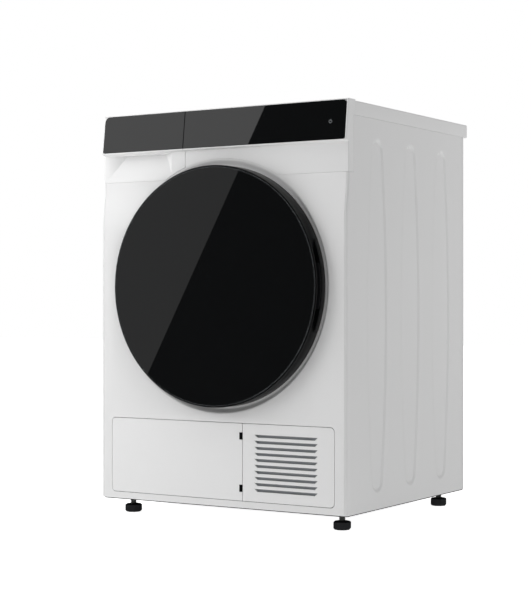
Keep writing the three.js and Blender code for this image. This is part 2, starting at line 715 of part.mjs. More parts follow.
function exchangerCover() {
  return join(
    box(EXCHANGER_LEFT, EXCHANGER_RIGHT, EXCHANGER_FRONT - GAP - WALL, EXCHANGER_FRONT - GAP,
      TRAY_HIGH + GAP, EXCHANGER_TOP),
    box(-130, -66, EXCHANGER_FRONT - GAP - 14, EXCHANGER_FRONT - GAP - 1, 126, 144),
  );
}

function coverLever(x) {
  const back = EXCHANGER_FRONT - GAP - WALL - GAP;
  return join(
    rod('y', [x, 0, 135], 14, back - 4, back, SMALL_ROUND),
    box(x - 5, x + 5, back - 13, back - 3, 135 - 11, 135 + 34),
  );
}

function compressor() {
  return turned('z', COMPRESSOR_PLACE, [
    [0, TRAY_REST], [COMPRESSOR_RADIUS + 8, TRAY_REST], [COMPRESSOR_RADIUS + 8, TRAY_REST + 4],
    [COMPRESSOR_RADIUS, TRAY_REST + 8], [COMPRESSOR_RADIUS, COMPRESSOR_TOP - 23],
    [COMPRESSOR_RADIUS - 18, COMPRESSOR_TOP - 6], [0, COMPRESSOR_TOP],
  ], 24);
}

function condensatePump() {
  const [x, y] = PUMP_PLACE;
  const deck = TRAY_REST + 23.7;
  return join(
    box(x - 35, x + 35, y - 35, y + 35, TRAY_REST, deck),
    rod('z', PUMP_PLACE, PUMP_RADIUS, deck - 2, PUMP_TOP, SMALL_ROUND),
    rod('y', [x, 0, deck - 8], 6, y - 55, y - 25, SMALL_ROUND),
  );
}

// ================================================================ drive

function driveMotor() {
  const centre = [MOTOR_X, 0, MOTOR_Z];
  const body = turned('y', centre, [
    [SHAFT_RADIUS, 150], [MOTOR_RADIUS - 20, 150], [MOTOR_RADIUS, 162], [MOTOR_RADIUS, 278],
    [MOTOR_RADIUS - 20, 290], [SHAFT_RADIUS, 290],
  ], 24);
  const [pivotX, pivotZ] = tensionerPivot();
  return cut(
    join(
      cut(body, rod('y', centre, SHAFT_RADIUS - 1, 140, 300, SMALL_ROUND)),
      box(MOTOR_X - 55, MOTOR_X + 55, 160, 285, TRAY_REST, MOTOR_Z - MOTOR_RADIUS + 12),
      box(pivotX - 10, pivotX + 10, 284, 333, TRAY_REST, pivotZ + 9),
      rod('y', [pivotX, 0, pivotZ], AXLE_RADIUS, 330, 346, SMALL_ROUND),
    ),
    rod('y', centre, SHAFT_RADIUS - 1, 140, 300, SMALL_ROUND),
  );
}

function motorShaft() {
  const half = BELT_WIDTH / 2 + 2 * GAP;
  const radius = 6;
  return turned('y', [MOTOR_X, 0, MOTOR_Z], [
    [0, 58], [radius, 58], [radius, BELT_Y - half - 3], [PULLEY_RADIUS + 5, BELT_Y - half - 3],
    [PULLEY_RADIUS + 5, BELT_Y - half], [PULLEY_RADIUS, BELT_Y - half], [PULLEY_RADIUS, BELT_Y + half],
    [PULLEY_RADIUS + 5, BELT_Y + half], [PULLEY_RADIUS + 5, BELT_Y + half + 2], [0, BELT_Y + half + 2],
  ], SMALL_ROUND);
}

// Direction from the drum's centre across the slack run of the belt, and along it to the drum.
function beltRun() {
  const dx = MOTOR_X;
  const dz = MOTOR_Z - DRUM_Z;
  const towards = Math.atan2(dz, dx);
  const spread = Math.acos((DRUM_RADIUS - PULLEY_RADIUS) / Math.hypot(dx, dz));
  const angle = towards - spread;
  return { across: [Math.cos(angle), Math.sin(angle)], along: [Math.sin(angle), -Math.cos(angle)] };
}

function idlerCentre() {
  const { across, along } = beltRun();
  const off = PULLEY_RADIUS + RUN_GAP + BELT_THICK + RUN_GAP + IDLER_RADIUS;
  return [
    MOTOR_X + off * across[0] + IDLER_REACH * along[0],
    MOTOR_Z + off * across[1] + IDLER_REACH * along[1],
  ];
}

function tensionerPivot() {
  const [x, z] = idlerCentre();
  return [x + 35, z - 50];
}

function beltBody(grow) {
  const points = [];
  for (const y of [BELT_Y - BELT_WIDTH / 2 - grow, BELT_Y + BELT_WIDTH / 2 + grow]) {
    points.push(...ringPoints(0, DRUM_Z, DRUM_RADIUS + BELT_GAP + BELT_THICK - grow, y, ROUND));
    points.push(...ringPoints(MOTOR_X, MOTOR_Z, PULLEY_RADIUS + RUN_GAP + BELT_THICK - grow, y, SMALL_ROUND));
  }
  return hull(points);
}

function idlerPulley() {
  const [x, z] = idlerCentre();
  const half = BELT_WIDTH / 2 + 1;
  return turned('y', [x, 0, z], [
    [AXLE_RADIUS + RUN_GAP, BELT_Y - half], [IDLER_RADIUS, BELT_Y - half],
    [IDLER_RADIUS, BELT_Y + half], [AXLE_RADIUS + RUN_GAP, BELT_Y + half],
  ], SMALL_ROUND);
}

function tensionerArm() {
  const back = BELT_Y + BELT_WIDTH / 2 + 2;
  const [x, z] = idlerCentre();
  const [pivotX, pivotZ] = tensionerPivot();
  const ends = [back, back + 4].flatMap((y) => [
    ...ringPoints(x, z, 8, y, 12), ...ringPoints(pivotX, pivotZ, 9, y, 12)]);
  return cut(
    join(hull(ends), rod('y', [x, 0, z], AXLE_RADIUS, BELT_Y - BELT_WIDTH / 2 - 3, back + 1, SMALL_ROUND)),
    rod('y', [pivotX, 0, pivotZ], AXLE_RADIUS + RUN_GAP, back - 1, back + 5, SMALL_ROUND),
  );
}

function fanImpeller() {
  const centre = [MOTOR_X, 0, MOTOR_Z];
  let fan = join(
    rod('y', centre, FAN_RADIUS, 102, 104, 24),
    rod('y', centre, 14, 70, 104, SMALL_ROUND),
  );
  for (let i = 0; i < BLADE_COUNT; i += 1) {
    const blade = box(38, FAN_RADIUS - 2, 64, 103, -1, 1);
    blade.rotateY((2 * Math.PI * i) / BLADE_COUNT).translate(...centre);
    fan = join(fan, blade);
  }
  return cut(fan, rod('y', centre, 6 + GAP, 60, 110, SMALL_ROUND));
}

function fanHousing() {
  const radius = FAN_CASE_RADIUS;
  const shell = turned('y', [MOTOR_X, 0, MOTOR_Z], [
    [42, 52], [radius, 52], [radius, 122], [20, 122], [20, 122 - WALL], [radius - WALL, 122 - WALL],
    [radius - WALL, 52 + WALL], [42, 52 + WALL],
  ], 24);
  return cut(shell, box(MOTOR_X + 5, MOTOR_X + 45, 62, 112, MOTOR_Z + 30, MOTOR_Z + radius + 5));
}

// ================================================================ drum

function drumShell() {
  const inner = DRUM_RADIUS - SHEET;
  return turned('y', [0, 0, DRUM_Z], [
    [DRUM_RADIUS - 15, DRUM_FRONT], [DRUM_RADIUS, DRUM_FRONT], [DRUM_RADIUS, DRUM_BACK], [inner, DRUM_BACK],
    [inner, DRUM_FRONT + SHEET], [DRUM_RADIUS - 15, DRUM_FRONT + SHEET],
  ]);
}

function drumBack() {
  const rim = DRUM_RADIUS - SHEET - 2 * GAP;
  const face = DRUM_BACK - 4;
  const hub = face - 12;
  let back = asSolid(turned('y', [0, 0, DRUM_Z], [
    [0, hub], [60, hub], [85, face], [rim, face], [rim, face + SHEET], [84.5, face + SHEET],
    [59.5, hub + SHEET], [0, hub + SHEET],
  ]));
  const holes = 12;
  for (let i = 0; i < holes; i += 1) {
    const angle = (2 * Math.PI * i) / holes;
    const centre = [175 * Math.cos(angle), 0, DRUM_Z + 175 * Math.sin(angle)];
    back = cut(back, rod('y', centre, 26, face - 2, face + SHEET + 1, 6));
  }
  return back;
}

function drumShaft() {
  const start = DRUM_BACK - 16 + SHEET + GAP;
  return turned('y', [0, 0, DRUM_Z], [
    [0, start], [45, start], [45, start + 5], [SHAFT_RADIUS, start + 7],
    [SHAFT_RADIUS, REAR_Y - 8], [0, REAR_Y - 8],
  ], SMALL_ROUND);
}

function drumBearing() {
  const centre = [0, 0, DRUM_Z];
  const back = REAR_Y - GAP;
  let bearing = asSolid(rod('y', centre, SHAFT_RADIUS + 18, 500, back, SMALL_ROUND));
  for (let i = 0; i < 3; i += 1) {
    const arm = box(SHAFT_RADIUS, REAR_HOLE + 14, back - 6, back, -13, 13);
    arm.rotateY(Math.PI / 6 + (2 * Math.PI * i) / 3).translate(...centre);
    bearing = join(bearing, arm);
  }
  return cut(bearing, rod('y', centre, SHAFT_RADIUS + 2 * RUN_GAP, 490, back + 1, SMALL_ROUND));
}

function lifter(index) {
  const base = DRUM_RADIUS - SHEET - 3.3;
  const top = base - LIFTER_HEIGHT;
  const flank = [[12, top + 6], [24, top + 30], [32, base]];
  const outline = [...flank.map(([x, z]) => [-x, z]).reverse(), [0, top], ...flank];
  const hollow = outline.map(([x, z]) => [x * LIFTER_TAPER, z + WALL]);
  const y = [DRUM_FRONT + 40, DRUM_BACK - 38];
  const turn = (geometry) => geometry.rotateY((2 * Math.PI * index) / LIFTER_COUNT).translate(0, 0, DRUM_Z);
  return cut(turn(prismY(outline, ...y)), turn(prismY(hollow, y[0] + WALL, y[1] - WALL)));
}

function rollerPlace(side) {
  const reach = DRUM_RADIUS + ROLLER_RADIUS + GAP;
  const angle = THREE.MathUtils.degToRad(ROLLER_ANGLE);
  return [side * reach * Math.sin(angle), DRUM_Z - reach * Math.cos(angle)];
}

function supportRoller(side) {
  const [x, z] = rollerPlace(side);
  const bore = AXLE_RADIUS + RUN_GAP;
  const front = DRUM_FRONT + 4;
  return turned('y', [x, 0, z], [
    [bore, front], [ROLLER_RADIUS, front], [ROLLER_RADIUS, front + 14], [bore, front + 14],
  ], 24);
}

function frontBulkhead() {
  const plate = [50, 54];
  const mouth = [0, 0, DOOR_Z];
  const pocket = 6;
  const low = FILTER_LOW - 3;
  const back = FILTER_FRONT + FILTER_THICK;
  let bulkhead = join(
    common(
      rod('y', [0, 0, DRUM_Z], DRUM_RADIUS + 23, ...plate),
      box(-HALF, HALF, 0, 100, EXCHANGER_TOP + 6, TANK_LOW - 7),
    ),
    rod('y', mouth, MOUTH_RADIUS + 3, 20, DRUM_FRONT - 4),
    box(-FILTER_HALF - pocket, FILTER_HALF + pocket, FILTER_FRONT - 4, plate[1] - 1,
      low - 5, FILTER_HIGH + 10),
  );
  for (const side of [-1, 1]) {
    const [x, z] = rollerPlace(side);
    bulkhead = join(
      bulkhead,
      rod('y', [x, 0, z], AXLE_RADIUS + 3, plate[0], DRUM_FRONT + 3.5, SMALL_ROUND),
      rod('y', [x, 0, z], AXLE_RADIUS, plate[0], DRUM_FRONT + 22, SMALL_ROUND),
    );
  }
  return cut(
    bulkhead,
    rod('y', mouth, MOUTH_RADIUS, 10, DRUM_FRONT),
    box(-FILTER_HALF - 0.8, FILTER_HALF + 0.8, FILTER_FRONT - 0.8, back + 0.8, low, FILTER_HIGH + 30),
  );
}

function lintFilter() {
  const back = FILTER_FRONT + FILTER_THICK;
  const frame = 8;
  const window = [frame - FILTER_HALF, FILTER_HALF - frame];
  const rows = [FILTER_LOW + frame, FILTER_HIGH - frame];
  const mesh = (FILTER_FRONT + back) / 2;
  return cut(
    box(-FILTER_HALF, FILTER_HALF, FILTER_FRONT, back, FILTER_LOW, FILTER_HIGH),
    box(...window, FILTER_FRONT - 1, mesh - 0.5, ...rows),
    box(...window, mesh + 0.5, back + 1, ...rows),
  );
}

function doorSeal() {
  return turned('y', [0, 0, DOOR_Z], [
    [MOUTH_RADIUS, 14], [MOUTH_RADIUS + 7, 13.4], [MOUTH_RADIUS + 10, 15.5], [MOUTH_RADIUS + 10, 19.6],
    [MOUTH_RADIUS, 19.6],
  ]);
}

// ================================================================ door

function doorGlass() {
  const radius = DOOR_RADIUS - 3.1;
  return turned('y', [0, 0, DOOR_Z], [
    [0, DOOR_FRONT], [radius - 1, DOOR_FRONT], [radius, DOOR_FRONT + 1],
    [radius, DOOR_FRONT + DOOR_GLASS_THICK], [0, DOOR_FRONT + DOOR_GLASS_THICK],
  ]);
}

function gripChordCut(y0, y1) {
  return box(GRIP_CHORD, DOOR_RADIUS + 5, y0, y1, DOOR_Z - 2 * GRIP_HALF - 6, DOOR_Z + 2 * GRIP_HALF + 6);
}

function hingeNotch(y0, y1) {
  return box(-DOOR_RADIUS - 5, HINGE_X + 28, y0, y1, DOOR_Z - HINGE_NOTCH, DOOR_Z + HINGE_NOTCH);
}

function doorRing() {
  const centre = [0, 0, DOOR_Z];
  const inner = DOOR_RADIUS - 2.7;
  const seat = DOOR_FRONT + DOOR_GLASS_THICK + GAP;
  const flange = DOOR_RADIUS - 22.5;
  const ring = turned('y', centre, [
    [DOOR_RADIUS, DOOR_FRONT + 1.5], [DOOR_RADIUS, RING_REAR], [inner, RING_REAR], [inner, seat + 3],
    [flange, seat + 3], [flange, seat], [inner, seat], [inner, DOOR_FRONT + 1.5],
  ]);
  const lip = -GRIP_LIP;
  const reach = 2 * GRIP_HALF + 8;
  const grip = common(
    rod('y', centre, DOOR_RADIUS, seat + 2, RING_REAR - 0.5),
    box(GRIP_CHORD - 3, DOOR_RADIUS + 1, seat + 1, RING_REAR, DOOR_Z - reach, DOOR_Z + reach),
  );
  return cut(join(ring, grip), gripChordCut(lip, -GRIP_BACK), hingeNotch(seat - 0.1, RING_REAR + 1));
}

// A plate on the rear wall of the finger recess.
function doorGrip() {
  const back = -GRIP_BACK - GAP;
  return common(
    rod('y', [0, 0, DOOR_Z], DOOR_RADIUS - 1, back - GRIP_PLATE, back),
    box(GRIP_CHORD + GAP, DOOR_RADIUS, -DOOR_PROUD, 0, DOOR_Z - GRIP_HALF, DOOR_Z + GRIP_HALF),
  );
}

function doorLiner() {
  const outer = DOOR_RADIUS - 3.3;
  const inner = BOWL_RADIUS + 0.5;
  const step = MOUTH_RADIUS - 6;
  const face = DOOR_REAR - WALL;
  const liner = turned('y', [0, 0, DOOR_Z], [
    [inner, 20 - WALL], [step - WALL, 20 - WALL], [step - WALL, face], [outer, face], [outer, DOOR_REAR],
    [step, DOOR_REAR], [step, 20], [inner, 20],
  ]);
  return cut(liner, hingeNotch(0, 25));
}

function doorBowl() {
  const wall = 3.5;
  return turned('y', [0, 0, DOOR_Z], [
    [0, BOWL_BACK], [BOWL_RADIUS - 34, BOWL_BACK - 6], [BOWL_RADIUS - 11, 60],
    [BOWL_RADIUS, 17], [BOWL_RADIUS, 5],
    [BOWL_RADIUS - wall, 5], [BOWL_RADIUS - wall, 17], [BOWL_RADIUS - 11 - wall, 59], [BOWL_RADIUS - 36, 80],
    [0, BOWL_BACK - wall],
  ], 36);
}

function hingeBracket() {
  const low = DOOR_Z - HINGE_HALF - 1 - HINGE_LUG;
  const high = DOOR_Z + HINGE_HALF + 1 + HINGE_LUG;
  const face = DISH_DEPTH - GAP;
  const foot = [HINGE_X + 16, HINGE_X + 26];
  let bracket = asSolid(box(HINGE_X - 5, foot[1], face - 2, face, low - 2, high + 2));
  for (const [z0, z1] of [[low, low + HINGE_LUG], [high - HINGE_LUG, high]]) {
    const circle = ringPoints(HINGE_X, HINGE_Y, HINGE_BARREL, 0, SMALL_ROUND).map(([x, , y]) => [x, y]);
    const plan = [...circle, [foot[0], face - 1], [foot[1], face - 1]];
    bracket = join(bracket, hull(plan.flatMap(([x, y]) => [[x, y, z0], [x, y, z1]])));
  }
  return cut(bracket, rod('z', [HINGE_X, HINGE_Y, 0], HINGE_PIN + RUN_GAP, low - 1, high + 1, 12));
}

function hingeLeaf() {
  const z = [DOOR_Z - HINGE_HALF, DOOR_Z + HINGE_HALF];
  const boss = [HINGE_X + 36, HINGE_X + 48];
  return cut(
    join(
      rod('z', [HINGE_X, HINGE_Y, 0], HINGE_BARREL, ...z, SMALL_ROUND),
      box(HINGE_X, boss[1], HINGE_Y - 3, HINGE_Y + 3, ...z),
      box(...boss, HINGE_Y, DOOR_REAR - WALL - GAP, ...z),
    ),
    rod('z', [HINGE_X, HINGE_Y, 0], HINGE_PIN + RUN_GAP, z[0] - 1, z[1] + 1, 12),
  );
}

function hingePin() {
  const reach = HINGE_HALF + HINGE_LUG + 2;
  return rod('z', [HINGE_X, HINGE_Y, 0], HINGE_PIN, DOOR_Z - reach, DOOR_Z + reach, 12);
}

function doorHook() {
  const base = DOOR_REAR + GAP;
  return join(
    box(LATCH_X - 2.5, LATCH_X + 2.5, base, base + 14, DOOR_Z - 6, DOOR_Z + 6),
    box(LATCH_X - 2.5, LATCH_X + 5, base + 9, base + 14, DOOR_Z - 6, DOOR_Z + 6),
  );
}

function doorCatch() {
  const front = DISH_DEPTH + SHEET + GAP;
  const left = OPENING_RADIUS + SHEET + GAP + 1;
  return cut(
    box(left, LATCH_X + 12, front, front + 21, DOOR_Z - 18, DOOR_Z + 18),
    box(left + 2, LATCH_X + 9, front - 1, front + 18, DOOR_Z - 14, DOOR_Z + 14),
  );
}

function mainsInlet() {
  const face = REAR_Y + SHEET + GAP;
  return join(
    rod('y', INLET_PLACE, INLET_RADIUS + 5, face, face + 4, SMALL_ROUND),
    rod('y', INLET_PLACE, INLET_RADIUS - 2 * GAP, REAR_Y - 18, face + 1, SMALL_ROUND),
  );
}

// ================================================================ assembly

const WHITE_STEEL = [0xeeefee, 0.38, 0.05];
const WHITE_PLASTIC = [0xf0f0ef, 0.42, 0];
const BLACK_GLASS = [0x0a0b0c, 0.06, 0];
const BLACK_PLASTIC = [0x17181a, 0.4, 0];
const GREY_PLASTIC = [0x8d9194, 0.5, 0];
const BARE_STEEL = [0xb9bcbe, 0.3, 0.9];
const DARK_STEEL = [0x4a4d50, 0.45, 0.7];
const RUBBER = [0x1d1d1e, 0.85, 0];

const cabinet = new THREE.Group();
cabinet.position.y = FRONT_Y;

function piece(name, solid, [colour, roughness, metalness]) {
  const material = new THREE.MeshStandardMaterial({ color: colour, roughness, metalness });
  const mesh = new THREE.Mesh(asGeometry(solid), material);
  mesh.name = name;
  cabinet.add(mesh);
}

const glassEdge = HALF - GLASS_MARGIN;

piece('base_tray', baseTray(), BLACK_PLASTIC);
piece('left_side_panel', sidePanel(-1), WHITE_STEEL);
piece('right_side_panel', sidePanel(1), WHITE_STEEL);
piece('front_panel', frontPanel(), WHITE_STEEL);
piece('rear_panel', rearPanel(), BARE_STEEL);
piece('rear_duct_cover', rearDuctCover(), BARE_STEEL);
piece('worktop', worktop(), WHITE_PLASTIC);
piece('control_fascia', controlFascia(), WHITE_PLASTIC);
piece('control_glass', glassSlab(DRAWER_EDGE + SEAM / 2, glassEdge, [1, 7, 11, 1]), BLACK_GLASS);
piece('control_board', controlBoard(), [0x1f5a3a, 0.6, 0]);
piece('louvre_grille', louvreGrille(), WHITE_PLASTIC);
piece('mains_inlet', mainsInlet(), BLACK_PLASTIC);

piece('drawer_front', drawerFront(), WHITE_PLASTIC);
piece('drawer_glass', glassSlab(-glassEdge, DRAWER_EDGE - SEAM / 2, [3, 1, 1, 11]), BLACK_GLASS);
piece('water_tank', waterTank(), [0xdfe6ea, 0.35, 0]);
piece('tank_sleeve', tankSleeve(), GREY_PLASTIC);

piece('service_flap', serviceFlap(), WHITE_PLASTIC);
piece('flap_hinge', flapHinge(), BLACK_PLASTIC);
piece('exchanger_housing', exchangerHousing(), GREY_PLASTIC);
piece('exchanger_cover', exchangerCover(), GREY_PLASTIC);
piece('cover_lever_left', coverLever(EXCHANGER_LEFT + 24), [0x2b6fa8, 0.45, 0]);
piece('cover_lever_right', coverLever(EXCHANGER_RIGHT - 24), [0x2b6fa8, 0.45, 0]);
piece('evaporator_coil', coil(90, 170), BARE_STEEL);
piece('condenser_coil', coil(195, 275), BARE_STEEL);
piece('compressor', compressor(), [0x1b1c1e, 0.4, 0.4]);
piece('condensate_pump', condensatePump(), GREY_PLASTIC);

piece('front_bulkhead', frontBulkhead(), GREY_PLASTIC);
piece('door_seal', doorSeal(), RUBBER);
piece('lint_filter', lintFilter(), [0x9fb4c2, 0.5, 0]);
piece('door_catch', doorCatch(), BLACK_PLASTIC);
piece('door_hinge_bracket', hingeBracket(), DARK_STEEL);
piece('door_hinge_leaf', hingeLeaf(), DARK_STEEL);
piece('door_hinge_pin', hingePin(), BARE_STEEL);
piece('door_glass', doorGlass(), BLACK_GLASS);
piece('door_ring', doorRing(), BLACK_PLASTIC);
piece('door_grip', doorGrip(), BLACK_PLASTIC);
piece('door_liner', doorLiner(), GREY_PLASTIC);
piece('door_bowl', doorBowl(), [0x2a2d30, 0.1, 0]);
piece('door_hook', doorHook(), BARE_STEEL);

piece('drum_shell', drumShell(), BARE_STEEL);
piece('drum_back', drumBack(), BARE_STEEL);
piece('drum_shaft', drumShaft(), DARK_STEEL);
piece('drum_bearing', drumBearing(), DARK_STEEL);
for (let i = 0; i < LIFTER_COUNT; i += 1) piece(`drum_lifter_${i + 1}`, lifter(i), GREY_PLASTIC);
piece('support_roller_left', supportRoller(-1), RUBBER);
piece('support_roller_right', supportRoller(1), RUBBER);
piece('drive_belt', cut(beltBody(0), beltBody(BELT_THICK)), RUBBER);
piece('drive_motor', driveMotor(), DARK_STEEL);
piece('motor_shaft', motorShaft(), BARE_STEEL);
piece('tensioner_arm', tensionerArm(), DARK_STEEL);
piece('idler_pulley', idlerPulley(), BLACK_PLASTIC);
piece('fan_impeller', fanImpeller(), BLACK_PLASTIC);
piece('fan_housing', fanHousing(), GREY_PLASTIC);

const footNames = ['foot_front_left', 'foot_front_right', 'foot_rear_left', 'foot_rear_right'];
footPlaces().forEach(([x, y], i) => piece(footNames[i], foot(x, y), RUBBER));

const dryer = new THREE.Group();
dryer.add(cabinet);
export default dryer;
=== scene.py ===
"""A freestanding tumble dryer with a round glass door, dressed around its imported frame.

Shapes are worked in millimetres from the cabinet's front plane and put in place in metres at the end.
"""

import json
import math

import bmesh
import bpy
from mathutils import Matrix, Vector


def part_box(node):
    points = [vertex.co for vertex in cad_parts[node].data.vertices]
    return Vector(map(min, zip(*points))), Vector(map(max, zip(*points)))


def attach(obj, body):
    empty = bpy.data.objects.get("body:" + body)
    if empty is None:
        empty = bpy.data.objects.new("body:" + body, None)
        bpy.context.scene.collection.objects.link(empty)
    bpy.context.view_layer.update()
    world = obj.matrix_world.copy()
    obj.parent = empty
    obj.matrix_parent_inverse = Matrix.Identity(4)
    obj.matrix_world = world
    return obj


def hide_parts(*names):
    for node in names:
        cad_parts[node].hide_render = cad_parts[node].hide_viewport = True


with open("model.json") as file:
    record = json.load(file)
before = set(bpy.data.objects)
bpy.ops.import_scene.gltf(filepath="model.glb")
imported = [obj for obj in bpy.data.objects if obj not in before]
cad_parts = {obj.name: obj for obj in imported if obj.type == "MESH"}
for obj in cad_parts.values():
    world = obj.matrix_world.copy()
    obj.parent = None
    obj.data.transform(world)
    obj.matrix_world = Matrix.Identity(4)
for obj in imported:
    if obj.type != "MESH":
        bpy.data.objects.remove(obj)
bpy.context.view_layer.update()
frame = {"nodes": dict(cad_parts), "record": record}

bl_info = {
    "name": "Tumble Dryer Builder",
    "version": (1, 0, 0),
    "blender": (4, 5, 0),
    "location": "View3D > Sidebar > Dryer",
    "description": "Builds the visible pieces, finishes and stage of a tumble dryer",
    "category": "Add Mesh",
}

# ---------------------------------------------------------------- places taken from the frame
MM = 1000.0


def corners(node):
    """Lowest and highest corners of a frame node, in millimetres from the cabinet's front plane."""
    low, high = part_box(node)
    front = Vector((0, FRONT_Y, 0))
    return (Vector(low) - front) * MM, (Vector(high) - front) * MM


FRONT_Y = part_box("left_side_panel")[0][1]
CABINET = Matrix.Translation((0, FRONT_Y, 0)) @ Matrix.Scale(1 / MM, 4)

SIDE_LOW, SIDE_HIGH = corners("right_side_panel")
PANEL_LOW, PANEL_HIGH = corners("front_panel")
LID_LOW, LID_HIGH = corners("worktop")
FASCIA_LOW, FASCIA_HIGH = corners("control_fascia")
GLASS_LOW, GLASS_HIGH = corners("control_glass")
FLAP_LOW, FLAP_HIGH = corners("service_flap")
GRILLE_LOW, GRILLE_HIGH = corners("louvre_grille")
RING_LOW, RING_HIGH = corners("door_ring")
DISC_LOW, DISC_HIGH = corners("door_glass")
LINER_LOW, LINER_HIGH = corners("door_liner")
BOWL_LOW, BOWL_HIGH = corners("door_bowl")
GRIP_LOW, GRIP_HIGH = corners("door_grip")
SHELL_LOW, SHELL_HIGH = corners("drum_shell")
COVER_LOW, COVER_HIGH = corners("rear_duct_cover")
BACK_LOW, BACK_HIGH = corners("rear_panel")

HALF = SIDE_HIGH.x
TOP = FASCIA_HIGH.z
LID_TOP = LID_HIGH.z
DOOR_Z = (DISC_LOW.z + DISC_HIGH.z) / 2
DRUM_Z = (SHELL_LOW.z + SHELL_HIGH.z) / 2
GAP = 0.3
SEAM = 1.0
WALL = 2.6
SHEET = 1.2
MERGE = 1e-4

# ---------------------------------------------------------------- front surface
SETBACK = 8.0  # the upper front lies this far behind the lower front
CURVE_LOW = 610.0
CURVE_HIGH = 695.0
FASCIA_WRAP = 27.5
LEDGE_DROP = 4.5
GLASS_THICK = 3.2
GLASS_MARGIN = 3.6
GLASS_BOTTOM_Y = -1.5
GLASS_TOP_Y = 8.0
RING_SEAM = 262.0
DRAWER_EDGE = GLASS_LOW.x - SEAM / 2
FASCIA_DEPTH = 27.0  # the hollow part of the fascia reaches this far back
END_ROUND = 2.6
LIP_Y = -30.0  # clear in front of everything
HINGE_NOTCH_X = -210.0
HINGE_NOTCH_HALF = 52.0
LATCH_INNER = 212.5
LATCH_OUTER = 226.0
LATCH_HALF = 14.0


def setback(z):
    """How far the front lies behind the cabinet's front plane at a height."""
    share = min(max((z - CURVE_LOW) / (CURVE_HIGH - CURVE_LOW), 0.0), 1.0)
    return SETBACK * share * share * (3 - 2 * share)


def glass_y(z):
    """Front of the leaning control glass at a height."""
    share = (z - GLASS_LOW.z) / (GLASS_HIGH.z - GLASS_LOW.z)
    return GLASS_BOTTOM_Y + share * (GLASS_TOP_Y - GLASS_BOTTOM_Y)


def ease(share):
    share = min(max(share, 0.0), 1.0)
    return share * share * (3 - 2 * share)


# ---------------------------------------------------------------- settings that a user would change
def length(name, description, millimetres):
    """A length property whose default is given in millimetres."""
    return bpy.props.FloatProperty(
        name=name, description=description, default=millimetres / MM, min=0.0, unit="LENGTH")


def colour(name, description, code):
    """A colour property whose default is an sRGB hex value."""
    return bpy.props.FloatVectorProperty(
        name=name, description=description, default=linear(code), min=0.0, max=1.0, size=3, subtype="COLOR")


def linear(code):
    """An sRGB hex value as the linear red, green and blue that shaders take."""
    values = [int(code[i:i + 2], 16) / 255 for i in (0, 2, 4)]
    return tuple(v / 12.92 if v <= 0.04045 else ((v + 0.055) / 1.055) ** 2.4 for v in values)


class DryerCasingSettings(bpy.types.PropertyGroup):
    """Sizes of the sheet-metal casing and its worktop."""

    corner: length("Corner radius", "Rounded vertical edge of the side sheet", 5.3)
    bead_depth: length("Bead depth", "How deep the side beads are pressed", 3.4)
    bead_slope: length("Bead slope", "Width of a bead's flank", 6.0)
    lid_edge: length("Worktop edge", "Rounding of the worktop's upper edge", 2.5)
    kick_corner: length("Kick corner", "Corner radius of the kick opening", 9.5)


class DryerDoorSettings(bpy.types.PropertyGroup):
    """Sizes of the door and the dish around it."""

    dish_radius: length("Dish radius", "Outer radius of the dish round the door", 261.0)
    dish_floor: length("Dish floor", "Radius at which the dish is flat", 249.0)
    dish_depth: length("Dish depth", "Depth of the dish behind the front plane", 12.0)
    mouth_radius: length("Mouth radius", "Radius of the opening that takes the door's rear", 208.0)
    glass_edge: length("Glass edge", "Ground edge of the door glass", 0.9)


class DryerColourSettings(bpy.types.PropertyGroup):
    """Colours of the main finishes."""

    enamel: colour("Enamel", "White enamel of the steel casing", "ECECEC")
    moulding: colour("Moulding", "White of the moulded fascia, kick plates and worktop", "EDEDED")
    glass: colour("Glass", "Black print behind the glass", "08090A")
    ring: colour("Ring", "Black moulding of the door ring", "0A0B0C")
    grey: colour("Grey moulding", "Grey of the inner mouldings", "8F9396")
    blue: colour("Touch points", "Blue of the levers", "2B6CA8")


# ---------------------------------------------------------------- modelling in millimetres
SEGMENTS = 192


def spot(axis, a, b, along):
    """A point of an outline across an axis: (y, z) across x, (x, z) across y, (x, y) across z."""
    return Vector({"x": (along, a, b), "y": (a, along, b), "z": (a, b, along)}[axis])


def slab(axis, outline, start, end, radii=()):
    """An outline with rounded corners, pulled along an axis."""
    bm = bmesh.new()
    verts = [bm.verts.new(spot(axis, a, b, start)) for a, b in outline]
    bm.faces.new(verts)
    for vert, radius in zip(verts, radii):
        if radius:
            corner_rounded(bm, vert, radius)
    pulled = bmesh.ops.extrude_face_region(bm, geom=bm.faces[:])
    moved = [item for item in pulled["geom"] if isinstance(item, bmesh.types.BMVert)]
    bmesh.ops.translate(bm, verts=moved, vec=spot(axis, 0, 0, end - start))
    bmesh.ops.recalc_face_normals(bm, faces=bm.faces[:])
    return bm


def rounded(bm, edges, offset, segments=3, clamp=False):
    bmesh.ops.bevel(bm, geom=edges, offset=offset, affect="EDGES", segments=segments, profile=0.5,
                    material=-1, clamp_overlap=clamp)
    return bm


def corner_rounded(bm, vert, radius):
    bmesh.ops.bevel(bm, geom=[vert], offset=radius, affect="VERTICES", segments=8, profile=0.5, material=-1)


def tall_edges(bm, height):
    """Edges that climb at least a height."""
    return [edge for edge in bm.edges if abs(edge.verts[0].co.z - edge.verts[1].co.z) > height]


def block(x0, x1, y0, y1, z0, z1):
    """A box between two corners."""
    bm = bmesh.new()
    bmesh.ops.create_cube(bm, size=1)
    bmesh.ops.scale(bm, verts=bm.verts[:], vec=(x1 - x0, y1 - y0, z1 - z0))
    bmesh.ops.translate(bm, verts=bm.verts[:], vec=((x0 + x1) / 2, (y0 + y1) / 2, (z0 + z1) / 2))
    return bm


